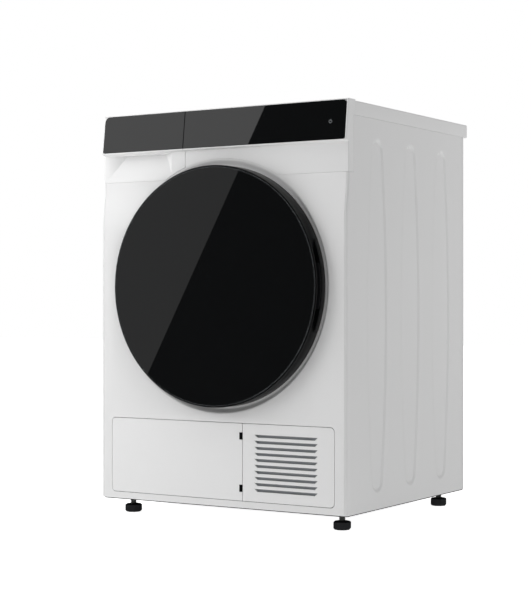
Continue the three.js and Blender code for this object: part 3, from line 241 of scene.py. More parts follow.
def turned(profile, centre=(0, 0, DOOR_Z), axis="y", segments=SEGMENTS):
    """A profile of (radius, distance along the axis) turned about an axis through a centre."""
    bm = bmesh.new()
    centre = Vector(centre)
    verts = [bm.verts.new(centre + spot(axis, radius, 0, along)) for radius, along in profile]
    pairs = list(zip(verts, verts[1:]))
    if profile[0][0] or profile[-1][0]:
        pairs.append((verts[-1], verts[0]))
    edges = [bm.edges.new(pair) for pair in pairs]
    bmesh.ops.spin(bm, geom=verts + edges, cent=centre, axis=spot(axis, 0, 0, 1),
                   angle=2 * math.pi, steps=segments, use_merge=True)
    bmesh.ops.remove_doubles(bm, verts=bm.verts[:], dist=MERGE)
    bmesh.ops.recalc_face_normals(bm, faces=bm.faces[:])
    return bm


def rod(axis, centre, radius, start, end, segments=SEGMENTS):
    return turned([(0, start), (radius, start), (radius, end), (0, end)], centre, axis, segments)


def wrapped(points):
    """The convex solid round a set of points."""
    bm = bmesh.new()
    for point in points:
        bm.verts.new(point)
    made = bmesh.ops.convex_hull(bm, input=bm.verts[:])
    bmesh.ops.delete(bm, geom=list(set(made["geom_interior"] + made["geom_unused"])), context="VERTS")
    bmesh.ops.dissolve_limit(bm, angle_limit=0.001, verts=bm.verts[:], edges=bm.edges[:])
    bmesh.ops.recalc_face_normals(bm, faces=bm.faces[:])
    return bm


def shaped(operation, body, *tools):
    """The body joined with, cut by or kept inside each tool in turn."""
    for tool in tools:
        made = []
        for bm in (body, tool):
            mesh = bpy.data.meshes.new("work")
            bm.to_mesh(mesh)
            bm.free()
            made.append(bpy.data.objects.new("work", mesh))
            bpy.context.scene.collection.objects.link(made[-1])
        step = made[0].modifiers.new("step", "BOOLEAN")
        step.operation = operation
        step.object = made[1]
        step.solver = "EXACT"
        body = bmesh.new()
        body.from_object(made[0], bpy.context.evaluated_depsgraph_get())
        for obj in made:
            mesh = obj.data
            bpy.data.objects.remove(obj)
            bpy.data.meshes.remove(mesh)
    return body


def cut(body, *tools):
    return shaped("DIFFERENCE", body, *tools)


def joined(body, *tools):
    return shaped("UNION", body, *tools)


def kept(body, *tools):
    return shaped("INTERSECT", body, *tools)


def piece(name, bm, finish, body, nodes=(), edge=0.0, thickness=0.0, facing=None, angle=32):
    """Settles a mesh in the row's frame, gives it its finish and ties it to its body."""
    bmesh.ops.remove_doubles(bm, verts=bm.verts[:], dist=MERGE)
    bmesh.ops.recalc_face_normals(bm, faces=bm.faces[:])
    if facing:
        towards = sum((face.normal * face.calc_area() for face in bm.faces), Vector())
        if towards.dot(Vector(facing)) < 0:
            bmesh.ops.reverse_faces(bm, faces=bm.faces[:])
    bmesh.ops.transform(bm, matrix=CABINET, verts=bm.verts[:])
    mesh = bpy.data.meshes.new(name)
    bm.to_mesh(mesh)
    bm.free()
    obj = bpy.data.objects.new(name, mesh)
    bpy.context.scene.collection.objects.link(obj)
    if thickness:
        wall = obj.modifiers.new("Sheet", "SOLIDIFY")
        wall.thickness = thickness / MM
        wall.offset = -1
        wall.use_even_offset = True
        thick = bmesh.new()
        thick.from_object(obj, bpy.context.evaluated_depsgraph_get())
        obj.modifiers.clear()
        thick.to_mesh(mesh)
        thick.free()
    mesh.shade_smooth()
    mesh.set_sharp_from_angle(angle=math.radians(angle))
    mesh.materials.append(bpy.data.materials[finish])
    if edge:
        bevel = obj.modifiers.new("Edge", "BEVEL")
        bevel.width = edge / MM
        bevel.segments = 2
        bevel.limit_method = "ANGLE"
        bevel.angle_limit = math.radians(angle)
        bevel.harden_normals = True
    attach(obj, body)
    if nodes:
        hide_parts(*nodes)
    return obj


# ---------------------------------------------------------------- finishes
FINISH_SLOTS = {
    "enamelled_steel": "white_casing",
    "galvanised_steel": "galvanised_sheet",
    "abs_white_moulded": "white_plastic",
    "printed_tempered_glass": "black_glass",
    "polycarbonate_smoked": "smoked_bowl",
    "abs_black_moulded": "black_plastic",
    "polypropylene_grey": "grey_plastic",
    "polypropylene_natural": "tank_plastic",
    "acetal_blue": "blue_plastic",
    "filter_weave": "filter_plastic",
    "circuit_board": "board",
    "aluminium_fins": "coil_fins",
    "aluminium_casting": "motor_casting",
    "black_lacquered_steel": "black_steel",
    "stainless_drum": "stainless",
    "machined_steel_bar": "machined_steel",
    "zinc_plated_steel": "pressed_steel",
    "epdm_rubber": "rubber",
}


def add(tree, kind, inputs=None, **settings):
    """Adds a node with its settings; an input takes a value or the output that is linked to it."""
    node = tree.nodes.new("ShaderNode" + kind)
    for key, value in settings.items():
        setattr(node, key, value)
    for key, value in (inputs or {}).items():
        if isinstance(value, bpy.types.NodeSocket):
            tree.links.new(value, node.inputs[key])
        else:
            node.inputs[key].default_value = value
    return node


def surface(name):
    """An empty material with its principled shader and object coordinates."""
    material = bpy.data.materials.new(name)
    material.use_nodes = True
    tree = material.node_tree
    tree.nodes.clear()
    shader = add(tree, "BsdfPrincipled")
    add(tree, "OutputMaterial", {"Surface": shader.outputs["BSDF"]})
    place = add(tree, "TexCoord").outputs["Object"]
    return tree, shader, place


def given(shader, **values):
    """Sets inputs of a shader; an underscore stands for a space."""
    for key, value in values.items():
        shader.inputs[key.replace("_", " ")].default_value = value


def tinted(tree, shader, factor, code, lighter):
    """Base colour between a colour and a slightly lighter one."""
    base = Vector(linear(code) if isinstance(code, str) else code)
    mix = add(tree, "Mix", {"Factor": factor}, data_type="RGBA")
    mix.inputs["A"].default_value = (*base, 1)
    mix.inputs["B"].default_value = (*(min(v * lighter, 1.0) for v in base), 1)
    tree.links.new(mix.outputs["Result"], shader.inputs["Base Color"])


def grained(tree, shader, height, depth_mm, strength=0.5):
    """Relief of a real depth from a height pattern."""
    bump = add(tree, "Bump", {"Strength": strength, "Distance": depth_mm / MM, "Height": height})
    tree.links.new(bump.outputs["Normal"], shader.inputs["Normal"])


def roughened(tree, shader, factor, low, high):
    spread = add(tree, "MapRange", {"Value": factor, "To Min": low, "To Max": high})
    tree.links.new(spread.outputs["Result"], shader.inputs["Roughness"])


def patterned(tree, shader, factor, code, lighter, low, high, depth_mm, strength=0.3):
    """One pattern that drives colour, roughness and relief together."""
    tinted(tree, shader, factor, code, lighter)
    roughened(tree, shader, factor, low, high)
    grained(tree, shader, factor, depth_mm, strength)


def noise(tree, place, size_mm, detail=2.0, stretch=(1, 1, 1)):
    """Noise whose blobs are about a real size across."""
    turned_place = add(tree, "Mapping", {"Vector": place, "Scale": stretch}).outputs["Vector"]
    return add(tree, "TexNoise", {
        "Vector": turned_place, "Scale": MM / size_mm, "Detail": detail}).outputs["Fac"]


def moulded(name, code, roughness, grain_mm, depth_mm, lighter=1.04, specular_ior=1.5):
    """Injection-moulded plastic: a spark-eroded tool leaves a fine even grain and a soft sheen."""
    tree, shader, place = surface(name)
    given(shader, IOR=specular_ior)
    grain = noise(tree, place, grain_mm, 3.0)
    cloud = noise(tree, place, 120.0)
    tinted(tree, shader, cloud, code, lighter)
    roughened(tree, shader, grain, roughness - 0.04, roughness + 0.05)
    grained(tree, shader, grain, depth_mm)
    return shader


def metal(name, code, roughness, streak, size_mm, depth_mm, lighter=1.1):
    """Bare metal whose marks run the way its surface was worked."""
    tree, shader, place = surface(name)
    given(shader, Metallic=0.75)
    marks = noise(tree, place, size_mm, 4.0, streak)
    patterned(tree, shader, marks, code, lighter, roughness - 0.06, roughness + 0.1, depth_mm)


def make_finishes(colours):
    # Enamel sprayed and baked on steel: very slight orange peel, about 3 mm across, under a clear gloss.
    tree, shader, place = surface("enamelled_steel")
    peel = noise(tree, place, 3.0, 1.0)
    cloud = noise(tree, place, 200.0)
    tinted(tree, shader, cloud, colours.enamel, 1.02)
    roughened(tree, shader, peel, 0.36, 0.42)
    grained(tree, shader, peel, 0.02, 0.25)
    given(shader, Coat_Weight=0.25, Coat_Roughness=0.22)

    # Satin ABS: a 0.6 mm grain that only breaks up the highlight.
    moulded("abs_white_moulded", tuple(colours.moulding), 0.42, 0.6, 0.012, 1.02)
    # Black ABS: the grain is a little coarser so that edges still catch light.
    shader = moulded("abs_black_moulded", tuple(colours.ring), 0.34, 0.7, 0.015, 1.3)
    given(shader, Specular_IOR_Level=0.18)
    # Grey glass-filled polypropylene: dull, with faint flow clouds.
    moulded("polypropylene_grey", tuple(colours.grey), 0.5, 0.9, 0.03, 1.08, 1.49)
    # Unpigmented polypropylene: milky, and light passes a little way into it.
    shader = moulded("polypropylene_natural", "DDE4E7", 0.36, 1.2, 0.02, 1.04, 1.49)
    given(shader, Subsurface_Weight=0.15, Subsurface_Radius=(0.004, 0.004, 0.004))
    # Acetal: dense and slightly waxy, in the colour that marks what a user may turn.
    moulded("acetal_blue", tuple(colours.blue), 0.34, 0.8, 0.01, 1.1, 1.48)
    # EPDM rubber: dull and almost without gloss, with a chalky bloom in patches.
    moulded("epdm_rubber", "26272A", 0.72, 1.4, 0.06, 1.5, 1.52)

    # Tempered glass printed black behind: a hard clear gloss over a deep even black, with faint dust.
    tree, shader, place = surface("printed_tempered_glass")
    dust = noise(tree, place, 60.0, 5.0)
    tinted(tree, shader, dust, tuple(colours.glass), 1.25)
    roughened(tree, shader, dust, 0.006, 0.016)
    given(shader, IOR=1.52)

    # Smoked polycarbonate, moulded: darker and slightly wavier than glass.
    tree, shader, place = surface("polycarbonate_smoked")
    wave = noise(tree, place, 45.0, 1.0)
    patterned(tree, shader, wave, "1E2022", 1.25, 0.06, 0.12, 0.3, 0.2)
    given(shader, IOR=1.58)

    # Hot-dip galvanised sheet: dulled zinc crystals about 12 mm across, each with its own tone.
    tree, shader, place = surface("galvanised_steel")
    given(shader, Metallic=0.4)
    crystal = add(tree, "TexVoronoi", {"Vector": place, "Scale": MM / 12.0}).outputs["Color"]
    tone = add(tree, "SeparateColor", {"Color": crystal}).outputs["Red"]
    patterned(tree, shader, tone, "A9ADB0", 1.22, 0.34, 0.5, 0.03)

    # Metals: the stretch of each pattern is the way the tool or roll ran.
    metal("stainless_drum", "B9BBBC", 0.3, (1, 0.06, 1), 1.0, 0.01)
    metal("machined_steel_bar", "9B9DA0", 0.3, (0.1, 1, 1), 1.2, 0.01)
    metal("zinc_plated_steel", "A6A8A4", 0.36, (1, 1, 0.3), 3.0, 0.02)
    metal("aluminium_casting", "8D9092", 0.52, (1, 1, 1), 2.2, 0.12)
    # Thin bright fins, 2 mm apart, seen as fine upright lines.
    tree, shader, place = surface("aluminium_fins")
    given(shader, Metallic=1.0)
    lines = add(tree, "TexWave", {"Vector": place, "Scale": MM / 2.0 / 20.0}, bands_direction="X")
    patterned(tree, shader, lines.outputs["Fac"], "7E8285", 1.6, 0.3, 0.45, 0.4, 0.6)

    # Black lacquer on drawn steel: runs smooth over the shell, with slight waviness.
    tree, shader, place = surface("black_lacquered_steel")
    wave = noise(tree, place, 8.0, 2.0)
    patterned(tree, shader, wave, "17181A", 1.4, 0.28, 0.4, 0.08)

    # Filter: a plastic weave, 1.5 mm pitch so that it still shows.
    tree, shader, place = surface("filter_weave")
    threads = [add(tree, "TexWave", {"Vector": place, "Scale": MM / 1.5 / 20.0}, bands_direction=way)
               for way in ("X", "Z")]
    heights = {i: thread.outputs["Fac"] for i, thread in enumerate(threads)}
    weave = add(tree, "Math", heights, operation="MULTIPLY")
    patterned(tree, shader, weave.outputs["Value"], "71838E", 1.7, 0.4, 0.6, 0.3, 0.6)

    # Circuit board: green mask over copper tracks about 3 mm apart.
    tree, shader, place = surface("circuit_board")
    tracks = add(tree, "TexBrick", {
        "Vector": place, "Scale": MM / 20.0, "Color1": (*linear("1D5C3A"), 1),
        "Color2": (*linear("236B45"), 1), "Mortar": (*linear("3B8A5B"), 1), "Mortar Size": 0.03})
    tree.links.new(tracks.outputs["Color"], shader.inputs["Base Color"])
    roughened(tree, shader, tracks.outputs["Fac"], 0.3, 0.45)


class DRYER_OT_finishes(bpy.types.Operator):
    """Make every finish and give the frame's own pieces theirs"""

    bl_idname = "dryer.finishes"
    bl_label = "Finishes"

    def execute(self, context):
        make_finishes(context.scene.dryer_colours)
        by_slot = {slot: finish for finish, slot in FINISH_SLOTS.items()}
        slots = {part["node"]: part["material_slot"] for part in frame["record"]["subparts"]}
        for name, obj in frame["nodes"].items():
            finish = bpy.data.materials[by_slot[slots[name]]]
            obj.data.materials.clear()
            obj.data.materials.append(finish)
        return {"FINISHED"}


# ---------------------------------------------------------------- casing
class DRYER_OT_front_panel(bpy.types.Operator):
    """Build the front sheet with its pressed dish, mouth and kick opening"""

    bl_idname = "dryer.front_panel"
    bl_label = "Front panel"

    def execute(self, context):
        casing = context.scene.dryer_casing
        door = context.scene.dryer_door
        dish = door.dish_radius * MM
        floor = door.dish_floor * MM
        curve_rows, cove_rows = 24, 8
        depth = door.dish_depth * MM
        mouth = door.mouth_radius * MM
        seam_z = FASCIA_LOW.z - GAP
        rise = seam_z - DOOR_Z
        reach = math.acos(rise / RING_SEAM)
        bm = bmesh.new()
        start = bm.verts.new((RING_SEAM * math.sin(reach), 0, seam_z))
        centre = Vector((0, 0, DOOR_Z))
        arc = bmesh.ops.spin(bm, geom=[start], cent=centre, axis=(0, -1, 0), angle=2 * reach, steps=48)
        end = next(item for item in arc["geom_last"] if isinstance(item, bmesh.types.BMVert))
        side = PANEL_HIGH.x - 2 * GAP
        outline = [end] + [bm.verts.new(place) for place in (
            (-side, 0, seam_z), (-side, 0, PANEL_LOW.z), (side, 0, PANEL_LOW.z), (side, 0, seam_z))] + [start]
        for pair in zip(outline, outline[1:]):
            bm.edges.new(pair)
        bmesh.ops.create_circle(bm, segments=SEGMENTS, radius=dish,
                                matrix=Matrix.Translation(centre) @ Matrix.Rotation(math.pi / 2, 4, "X"))
        kick = (FLAP_LOW.x - SEAM, GRILLE_HIGH.x + SEAM, GRILLE_LOW.z - SEAM, GRILLE_HIGH.z + SEAM)
        hole = [bm.verts.new((x, 0, z)) for x, z in (
            (kick[0], kick[2]), (kick[1], kick[2]), (kick[1], kick[3]), (kick[0], kick[3]))]
        bm.faces.new(hole)
        for vert in hole:
            corner_rounded(bm, vert, casing.kick_corner * MM)
        bmesh.ops.delete(bm, geom=bm.faces[:], context="FACES_ONLY")
        bmesh.ops.triangle_fill(bm, use_beauty=True, use_dissolve=False, edges=bm.edges[:], normal=(0, -1, 0))
        for step in range(curve_rows + 1):
            z = CURVE_LOW + (CURVE_HIGH - CURVE_LOW) * step / curve_rows
            bmesh.ops.bisect_plane(bm, geom=bm.verts[:] + bm.edges[:] + bm.faces[:], dist=1e-5,
                                   plane_co=(0, 0, z), plane_no=(0, 0, 1))

        def radius(vert):
            return math.hypot(vert.co.x, vert.co.z - DOOR_Z)

        rim = [edge for edge in bm.edges if edge.is_boundary and all(
            abs(radius(vert) - dish) < 0.5 for vert in edge.verts)]
        for vert in bm.verts:
            vert.co.y = setback(vert.co.z)
        shares = [i / cove_rows for i in range(1, cove_rows + 1)]
        cove = [(dish + (floor - dish) * share, ease(share)) for share in shares]
        flat = [(LATCH_OUTER, 1.0), (LATCH_INNER, 1.0), (mouth + 1.5, 1.0), (mouth + 0.4, 1.05),
                (mouth, 1.15), (mouth, 1.8)]
        edges = rim
        for ring_radius, share in cove + flat:
            pulled = bmesh.ops.extrude_edge_only(bm, edges=edges)["geom"]
            edges = [item for item in pulled if isinstance(item, bmesh.types.BMEdge)]
            for vert in (item for item in pulled if isinstance(item, bmesh.types.BMVert)):
                away = Vector((vert.co.x, 0, vert.co.z - DOOR_Z)).normalized()
                rim_y = setback(DOOR_Z + dish * away.z)
                vert.co = centre + away * ring_radius
                vert.co.y = rim_y + (depth - rim_y) * share
        latch = []
        for face in bm.faces:
            middle = face.calc_center_median() - centre
            if (LATCH_INNER < math.hypot(middle.x, middle.z) < LATCH_OUTER and middle.x > 0
                    and abs(middle.z) < LATCH_HALF):
                latch.append(face)
        bmesh.ops.delete(bm, geom=latch, context="FACES")
        piece("front_sheet", bm, "enamelled_steel", "cabinet", ["front_panel"],
              thickness=SHEET, facing=(0, -1, 0), angle=40)
        return {"FINISHED"}


BEAD_CENTRES = (127.5, 274.5, 419.5)
BEAD_LOW = 75.0
BEAD_HIGH = 774.0
BEAD_MIDDLE = 37.0
BEAD_END = 17.5


def bead_depth(y, z, depth, slope):
    """How deep the side sheet is pressed in at a place."""
    middle = (BEAD_LOW + BEAD_HIGH) / 2
    flank = (BEAD_HIGH - BEAD_LOW) / 2 - BEAD_END
    deepest = 0.0
    for centre in BEAD_CENTRES:
        share = (z - middle) / flank
        if abs(share) <= 1:
            inside = BEAD_END + (BEAD_MIDDLE - BEAD_END) * (1 - share * share) - abs(y - centre)
        else:
            inside = BEAD_END - math.hypot(y - centre, abs(z - middle) - flank)
        deepest = max(deepest, depth * ease((inside + slope) / slope))
    return deepest


class DRYER_OT_side_panels(bpy.types.Operator):
    """Build both side sheets with their pressed beads and rounded front edge"""

    bl_idname = "dryer.side_panels"
    bl_label = "Side panels"

    def execute(self, context):
        casing = context.scene.dryer_casing
        corner = casing.corner * MM
        back = SIDE_HIGH.y
        wrap = FASCIA_WRAP + GAP
        # Each column is a width, a depth and a share of the front's setback that it follows.
        turn_back, corner_rows, flange = 7.0, 6, 15
        columns = [(HALF - corner, turn_back, 1.0)]
        for i in range(corner_rows + 1):
            angle = math.pi / 2 * i / corner_rows
            columns.append((HALF - corner + corner * math.sin(angle), corner - corner * math.cos(angle), 1.0))
        flats = {16.0, 22.0, wrap, 60.0, 70.0, back - 40, back - 20, back - 3}
        for centre in BEAD_CENTRES:
            flats |= {centre - 46 + 2 * i for i in range(47)}
        columns += [(HALF, y, 0.0) for y in sorted(flats)]
        columns += [(HALF - 1, back - 0.6, 0.0), (HALF - 3, back, 0.0), (HALF - flange, back, 0.0)]
        rows = {SIDE_LOW.z, 48.0, 58.0, FASCIA_LOW.z - GAP, SIDE_HIGH.z, 790.0, 804.0}
        rows |= {64 + 2.5 * i for i in range(18)} | {742 + 2.5 * i for i in range(17)}
        rows |= {110 + 10.0 * i for i in range(51)} | {CURVE_LOW + 5 * i for i in range(18)}
        rows |= {714.0, 722.0, 732.0}
        rows = sorted(rows)
        wide = len(columns)
        tall = len(rows)
        for side, body_name in ((-1, "left_side_panel"), (1, "right_side_panel")):
            bm = bmesh.new()
            bmesh.ops.create_grid(bm, x_segments=wide - 1, y_segments=tall - 1, size=1)
            for vert in bm.verts:
                x, y, follows = columns[round((vert.co.x + 1) / 2 * (wide - 1))]
                z = rows[round((vert.co.y + 1) / 2 * (tall - 1))]
                pressed = bead_depth(y, z, casing.bead_depth * MM, casing.bead_slope * MM) if x == HALF else 0
                vert.co = (side * (x - pressed), y + follows * setback(z), z)
            hidden = [face for face in bm.faces if face.calc_center_median().z > FASCIA_LOW.z - GAP
                      and face.calc_center_median().y < wrap]
            bmesh.ops.delete(bm, geom=hidden, context="FACES")
            piece(body_name.replace("panel", "sheet"), bm, "enamelled_steel", "cabinet", [body_name],
                  thickness=SHEET, facing=(side, 0, 0), angle=40)
        return {"FINISHED"}


class DRYER_OT_worktop(bpy.types.Operator):
    """Build the worktop with its rounded edges"""

    bl_idname = "dryer.worktop"
    bl_label = "Worktop"

    def execute(self, context):
        edge, heel = context.scene.dryer_casing.lid_edge * MM, 4
        front, back = LID_LOW.y, LID_HIGH.y
        bm = block(-HALF, HALF, front, back, LID_LOW.z, LID_TOP)
        upper = [item for item in bm.edges if all(vert.co.z > LID_TOP - 1 for vert in item.verts)
                 and not all(abs(vert.co.y - front) < 1 for vert in item.verts)]
        rounded(bm, upper, edge, 6)
        lower = [item for item in bm.edges if all(
            vert.co.z < LID_LOW.z + 1 and abs(vert.co.y - back) < 1 for vert in item.verts)]
        rounded(bm, lower, heel)
        piece("worktop_moulding", bm, "abs_white_moulded", "cabinet", ["worktop"], edge=0.8, angle=50)
        return {"FINISHED"}


class DRYER_OT_rear(bpy.types.Operator):
    """Build the rear sheet and its round duct cover"""

    bl_idname = "dryer.rear"
    bl_label = "Rear"

    def execute(self, context):
        lap, inlet_radius = 17, 13
        hole = COVER_HIGH.x - lap
        inlet_low, inlet_high = corners("mains_inlet")
        inlet = ((inlet_low.x + inlet_high.x) / 2, 0, (inlet_low.z + inlet_high.z) / 2)
        sheet = cut(
            block(BACK_LOW.x, BACK_HIGH.x, BACK_LOW.y, BACK_HIGH.y, BACK_LOW.z, BACK_HIGH.z),
            rod("y", (0, 0, DRUM_Z), hole, BACK_LOW.y - 2, BACK_HIGH.y + 2),
            rod("y", inlet, inlet_radius, BACK_LOW.y - 2, BACK_HIGH.y + 2, 48),
        )
        piece("rear_sheet", sheet, "galvanised_steel", "cabinet", ["rear_panel"], edge=0.3)
        front = COVER_LOW.y
        rim = COVER_HIGH.x
        deep = COVER_HIGH.y - SHEET
        inside = [(radius, deep) for radius in (0, 60, 110, 150)] + [
            (hole - 24, deep), (hole - 20, deep - 0.9), (hole - 17, deep - 4), (hole - 15, deep - 8),
            (hole - 13.5, deep - 11.5), (hole - 11, front + 0.5), (hole - 7, front), (rim, front)]
        outside = [(radius + (0.6 if radius < rim else 0), y + SHEET) for radius, y in inside]
        cover = turned(inside + outside[::-1][:-1] + [(0, deep + SHEET)], (0, 0, DRUM_Z))
        piece("rear_duct_sheet", cover, "galvanised_steel", "cabinet", ["rear_duct_cover"], angle=25)
        return {"FINISHED"}


# ---------------------------------------------------------------- fascia and water drawer
def fascia_front():
    """Front outline in (y, z) of the fascia and drawer, from the seam up round the glass seat."""
    seat = GLASS_THICK + GAP
    lip = GLASS_LOW.z - GAP
    crest = GLASS_HIGH.z + GAP
    ledge = GLASS_LOW.z - LEDGE_DROP
    return [
        (SETBACK, FASCIA_LOW.z), (SETBACK, ledge), (GLASS_BOTTOM_Y + GAP, ledge + LEDGE_DROP / 2),
        (GLASS_BOTTOM_Y, lip), (glass_y(lip) + seat, lip), (glass_y(crest) + seat, crest),
        (glass_y(crest) + GAP, crest), (glass_y(TOP), TOP),
    ]


def soften_end(bm, x, offset):
    """Rounds the upright front edge at one end of the fascia."""
    edges = [edge for edge in tall_edges(bm, 1) if all(
        abs(vert.co.x - x) < 0.01 and vert.co.y < SETBACK + 1 for vert in edge.verts)]
    rounded(bm, edges, offset, 4, True)


class DRYER_OT_fascia(bpy.types.Operator):
    """Build the control fascia and its glass with the touch mark"""

    bl_idname = "dryer.fascia"
    bl_label = "Control fascia"

    def execute(self, context):
        front = fascia_front()
        back = LID_LOW.y - GAP
        seat = GLASS_THICK + GAP + WALL
        ledge = GLASS_LOW.z - LEDGE_DROP
        wall = front + [(back, TOP), (back, TOP - WALL), (glass_y(TOP) + seat, TOP - WALL),
                        (glass_y(GLASS_LOW.z) + seat, GLASS_LOW.z + WALL), (SETBACK + WALL, ledge),
                        (SETBACK + WALL, FASCIA_LOW.z)]
        cheek = front[:4] + [front[-1], (back, TOP), (back, LID_LOW.z + GAP), (FASCIA_WRAP, LID_LOW.z + GAP),
                             (FASCIA_WRAP, FASCIA_LOW.z)]
        left = DRAWER_EDGE + SEAM / 2
        low, high = corners("water_tank")
        room = 2
        bay = block(low.x - room, high.x + room, FASCIA_DEPTH - 1, back + 1, low.z - room, high.z + room)
        shell = joined(
            slab("x", wall, left, HALF - WALL / 2),
            slab("x", cheek, HALF - GLASS_MARGIN + GAP, HALF),
            slab("x", front + [(back, TOP), (back, FASCIA_LOW.z)], left, left + WALL),
            block(-HALF, left + WALL, FASCIA_DEPTH, back, FASCIA_LOW.z, TOP),
        )
        shell = cut(
            shell, bay,
            rod("y", (0, 0, DOOR_Z), RING_SEAM + GAP, LIP_Y, FASCIA_DEPTH - WALL),
            block(-HALF - 1, DRAWER_EDGE, LIP_Y, FASCIA_DEPTH, FASCIA_LOW.z - 1, TOP + 1),
            block(HALF - SHEET - GAP, HALF + 1, FASCIA_WRAP, back + 1, FASCIA_LOW.z - 1, LID_LOW.z),
            block(-HALF - 1, SHEET + GAP - HALF, FASCIA_WRAP, back + 1, FASCIA_LOW.z - 1, LID_LOW.z),
        )
        bmesh.ops.dissolve_limit(shell, angle_limit=0.002, verts=shell.verts[:], edges=shell.edges[:])
        soften_end(shell, HALF, END_ROUND)
        piece("fascia_moulding", shell, "abs_white_moulded", "cabinet", ["control_fascia"], edge=0.5)
        glass = leaning_glass(GLASS_LOW.x, GLASS_HIGH.x, (1, 7, 11, 1))
        piece("fascia_glass", glass, "printed_tempered_glass", "cabinet", ["control_glass"], edge=0.5)
        touch_mark()
        return {"FINISHED"}


def leaning_glass(x0, x1, radii):
    """A strip of glass that leans back, with the radii of its corners from the lower left, anticlockwise."""
    z0, z1 = GLASS_LOW.z, GLASS_HIGH.z
    bm = slab("y", [(x0, z0), (x1, z0), (x1, z1), (x0, z1)], 0, GLASS_THICK, radii)
    for vert in bm.verts:
        vert.co.y += glass_y(vert.co.z)
    return bm


def touch_mark():
    """A small printed ring with a stroke at its top, where a finger switches the machine on."""
    x, z, radius, line, proud, opening = 262.0, 806.0, 3.6, 0.8, 0.12, 1.3
    ring = turned(
        [(radius, 0), (radius, -proud), (radius - line, -proud), (radius - line, 0)], (x, 0, z), segments=48)
    ring = cut(ring, block(x - opening, x + opening, -2, 2, z + 1, z + radius + 1))
    stroke = block(x - line / 2, x + line / 2, -proud, 0, z + 0.6, z + radius + 0.8)
    mark = joined(ring, stroke)
    for vert in mark.verts:
        vert.co.y += glass_y(vert.co.z) + 0.02
    piece("touch_mark", mark, "polypropylene_grey", "cabinet")


class DRYER_OT_drawer(bpy.types.Operator):
    """Build the water drawer's front with its finger scoop, its glass and its tank"""

    bl_idname = "dryer.drawer"
    bl_label = "Water drawer"

    def execute(self, context):
        low, high = corners("drawer_front")
        right = DRAWER_EDGE - SEAM / 2
        outline = fascia_front() + [(high.y, TOP), (high.y, FASCIA_LOW.z)]
        # The finger scoop is a flat floor that falls back upwards between two slanting cheeks.
        scoop_low, scoop_high, depth = 720.0, 763.0, SETBACK + 16
        x0, x1 = -283.0, -123.0
        left_cheek, right_cheek = 33, 24
        mouth = [(x, y, z) for y in (SETBACK - 4, SETBACK) for x in (x0, x1) for z in (scoop_low, scoop_high)]
        scoop = wrapped(mouth + [(x0 + left_cheek, depth, scoop_high), (x1 - right_cheek, depth, scoop_high)])
        bulk = cut(
            slab("x", outline, -HALF, right),
            scoop,
            rod("y", (0, 0, DOOR_Z), RING_SEAM + SEAM, LIP_Y, high.y + 2),
        )
        # The block is hollow from behind, above the scoop.
        inside = (WALL - HALF, right - WALL)
        seat = glass_y(GLASS_HIGH.z) + GLASS_THICK + GAP + WALL
        bulk = cut(bulk, block(*inside, seat, high.y + 2, GLASS_LOW.z + WALL, TOP - WALL))
        bmesh.ops.dissolve_limit(bulk, angle_limit=0.002, verts=bulk.verts[:], edges=bulk.edges[:])
        soften_end(bulk, -HALF, END_ROUND)
        piece("drawer_moulding", bulk, "abs_white_moulded", "water_drawer", ["drawer_front"], edge=0.5)
        glass = leaning_glass(GLASS_MARGIN - HALF, right, (3, 1, 1, 11))
        piece("drawer_glass_strip", glass, "printed_tempered_glass", "water_drawer",
              ["drawer_glass"], edge=0.5)
        low, high = corners("water_tank")
        tank = block(low.x, high.x, low.y, high.y, low.z, high.z)
        rounded(tank, tall_edges(tank, 1), 8, 5)
        grooves = [block(low.x + 14, high.x - 14, y, y + 3, high.z - 1.2, high.z + 1)
                   for y in (150.0, 230.0, 310.0, 390.0)]
        spout, spout_radius = (high.x - 40, low.y + 50, 0), 18
        tank = cut(
            tank,
            block(low.x + WALL, high.x - WALL, low.y + WALL, high.y - WALL, low.z + WALL, high.z - WALL),
            rod("z", spout, spout_radius, high.z - 6, high.z + 2, 48),
            *grooves,
        )
        piece("tank_moulding", tank, "polypropylene_natural", "water_drawer", ["water_tank"], edge=0.8)
        return {"FINISHED"}


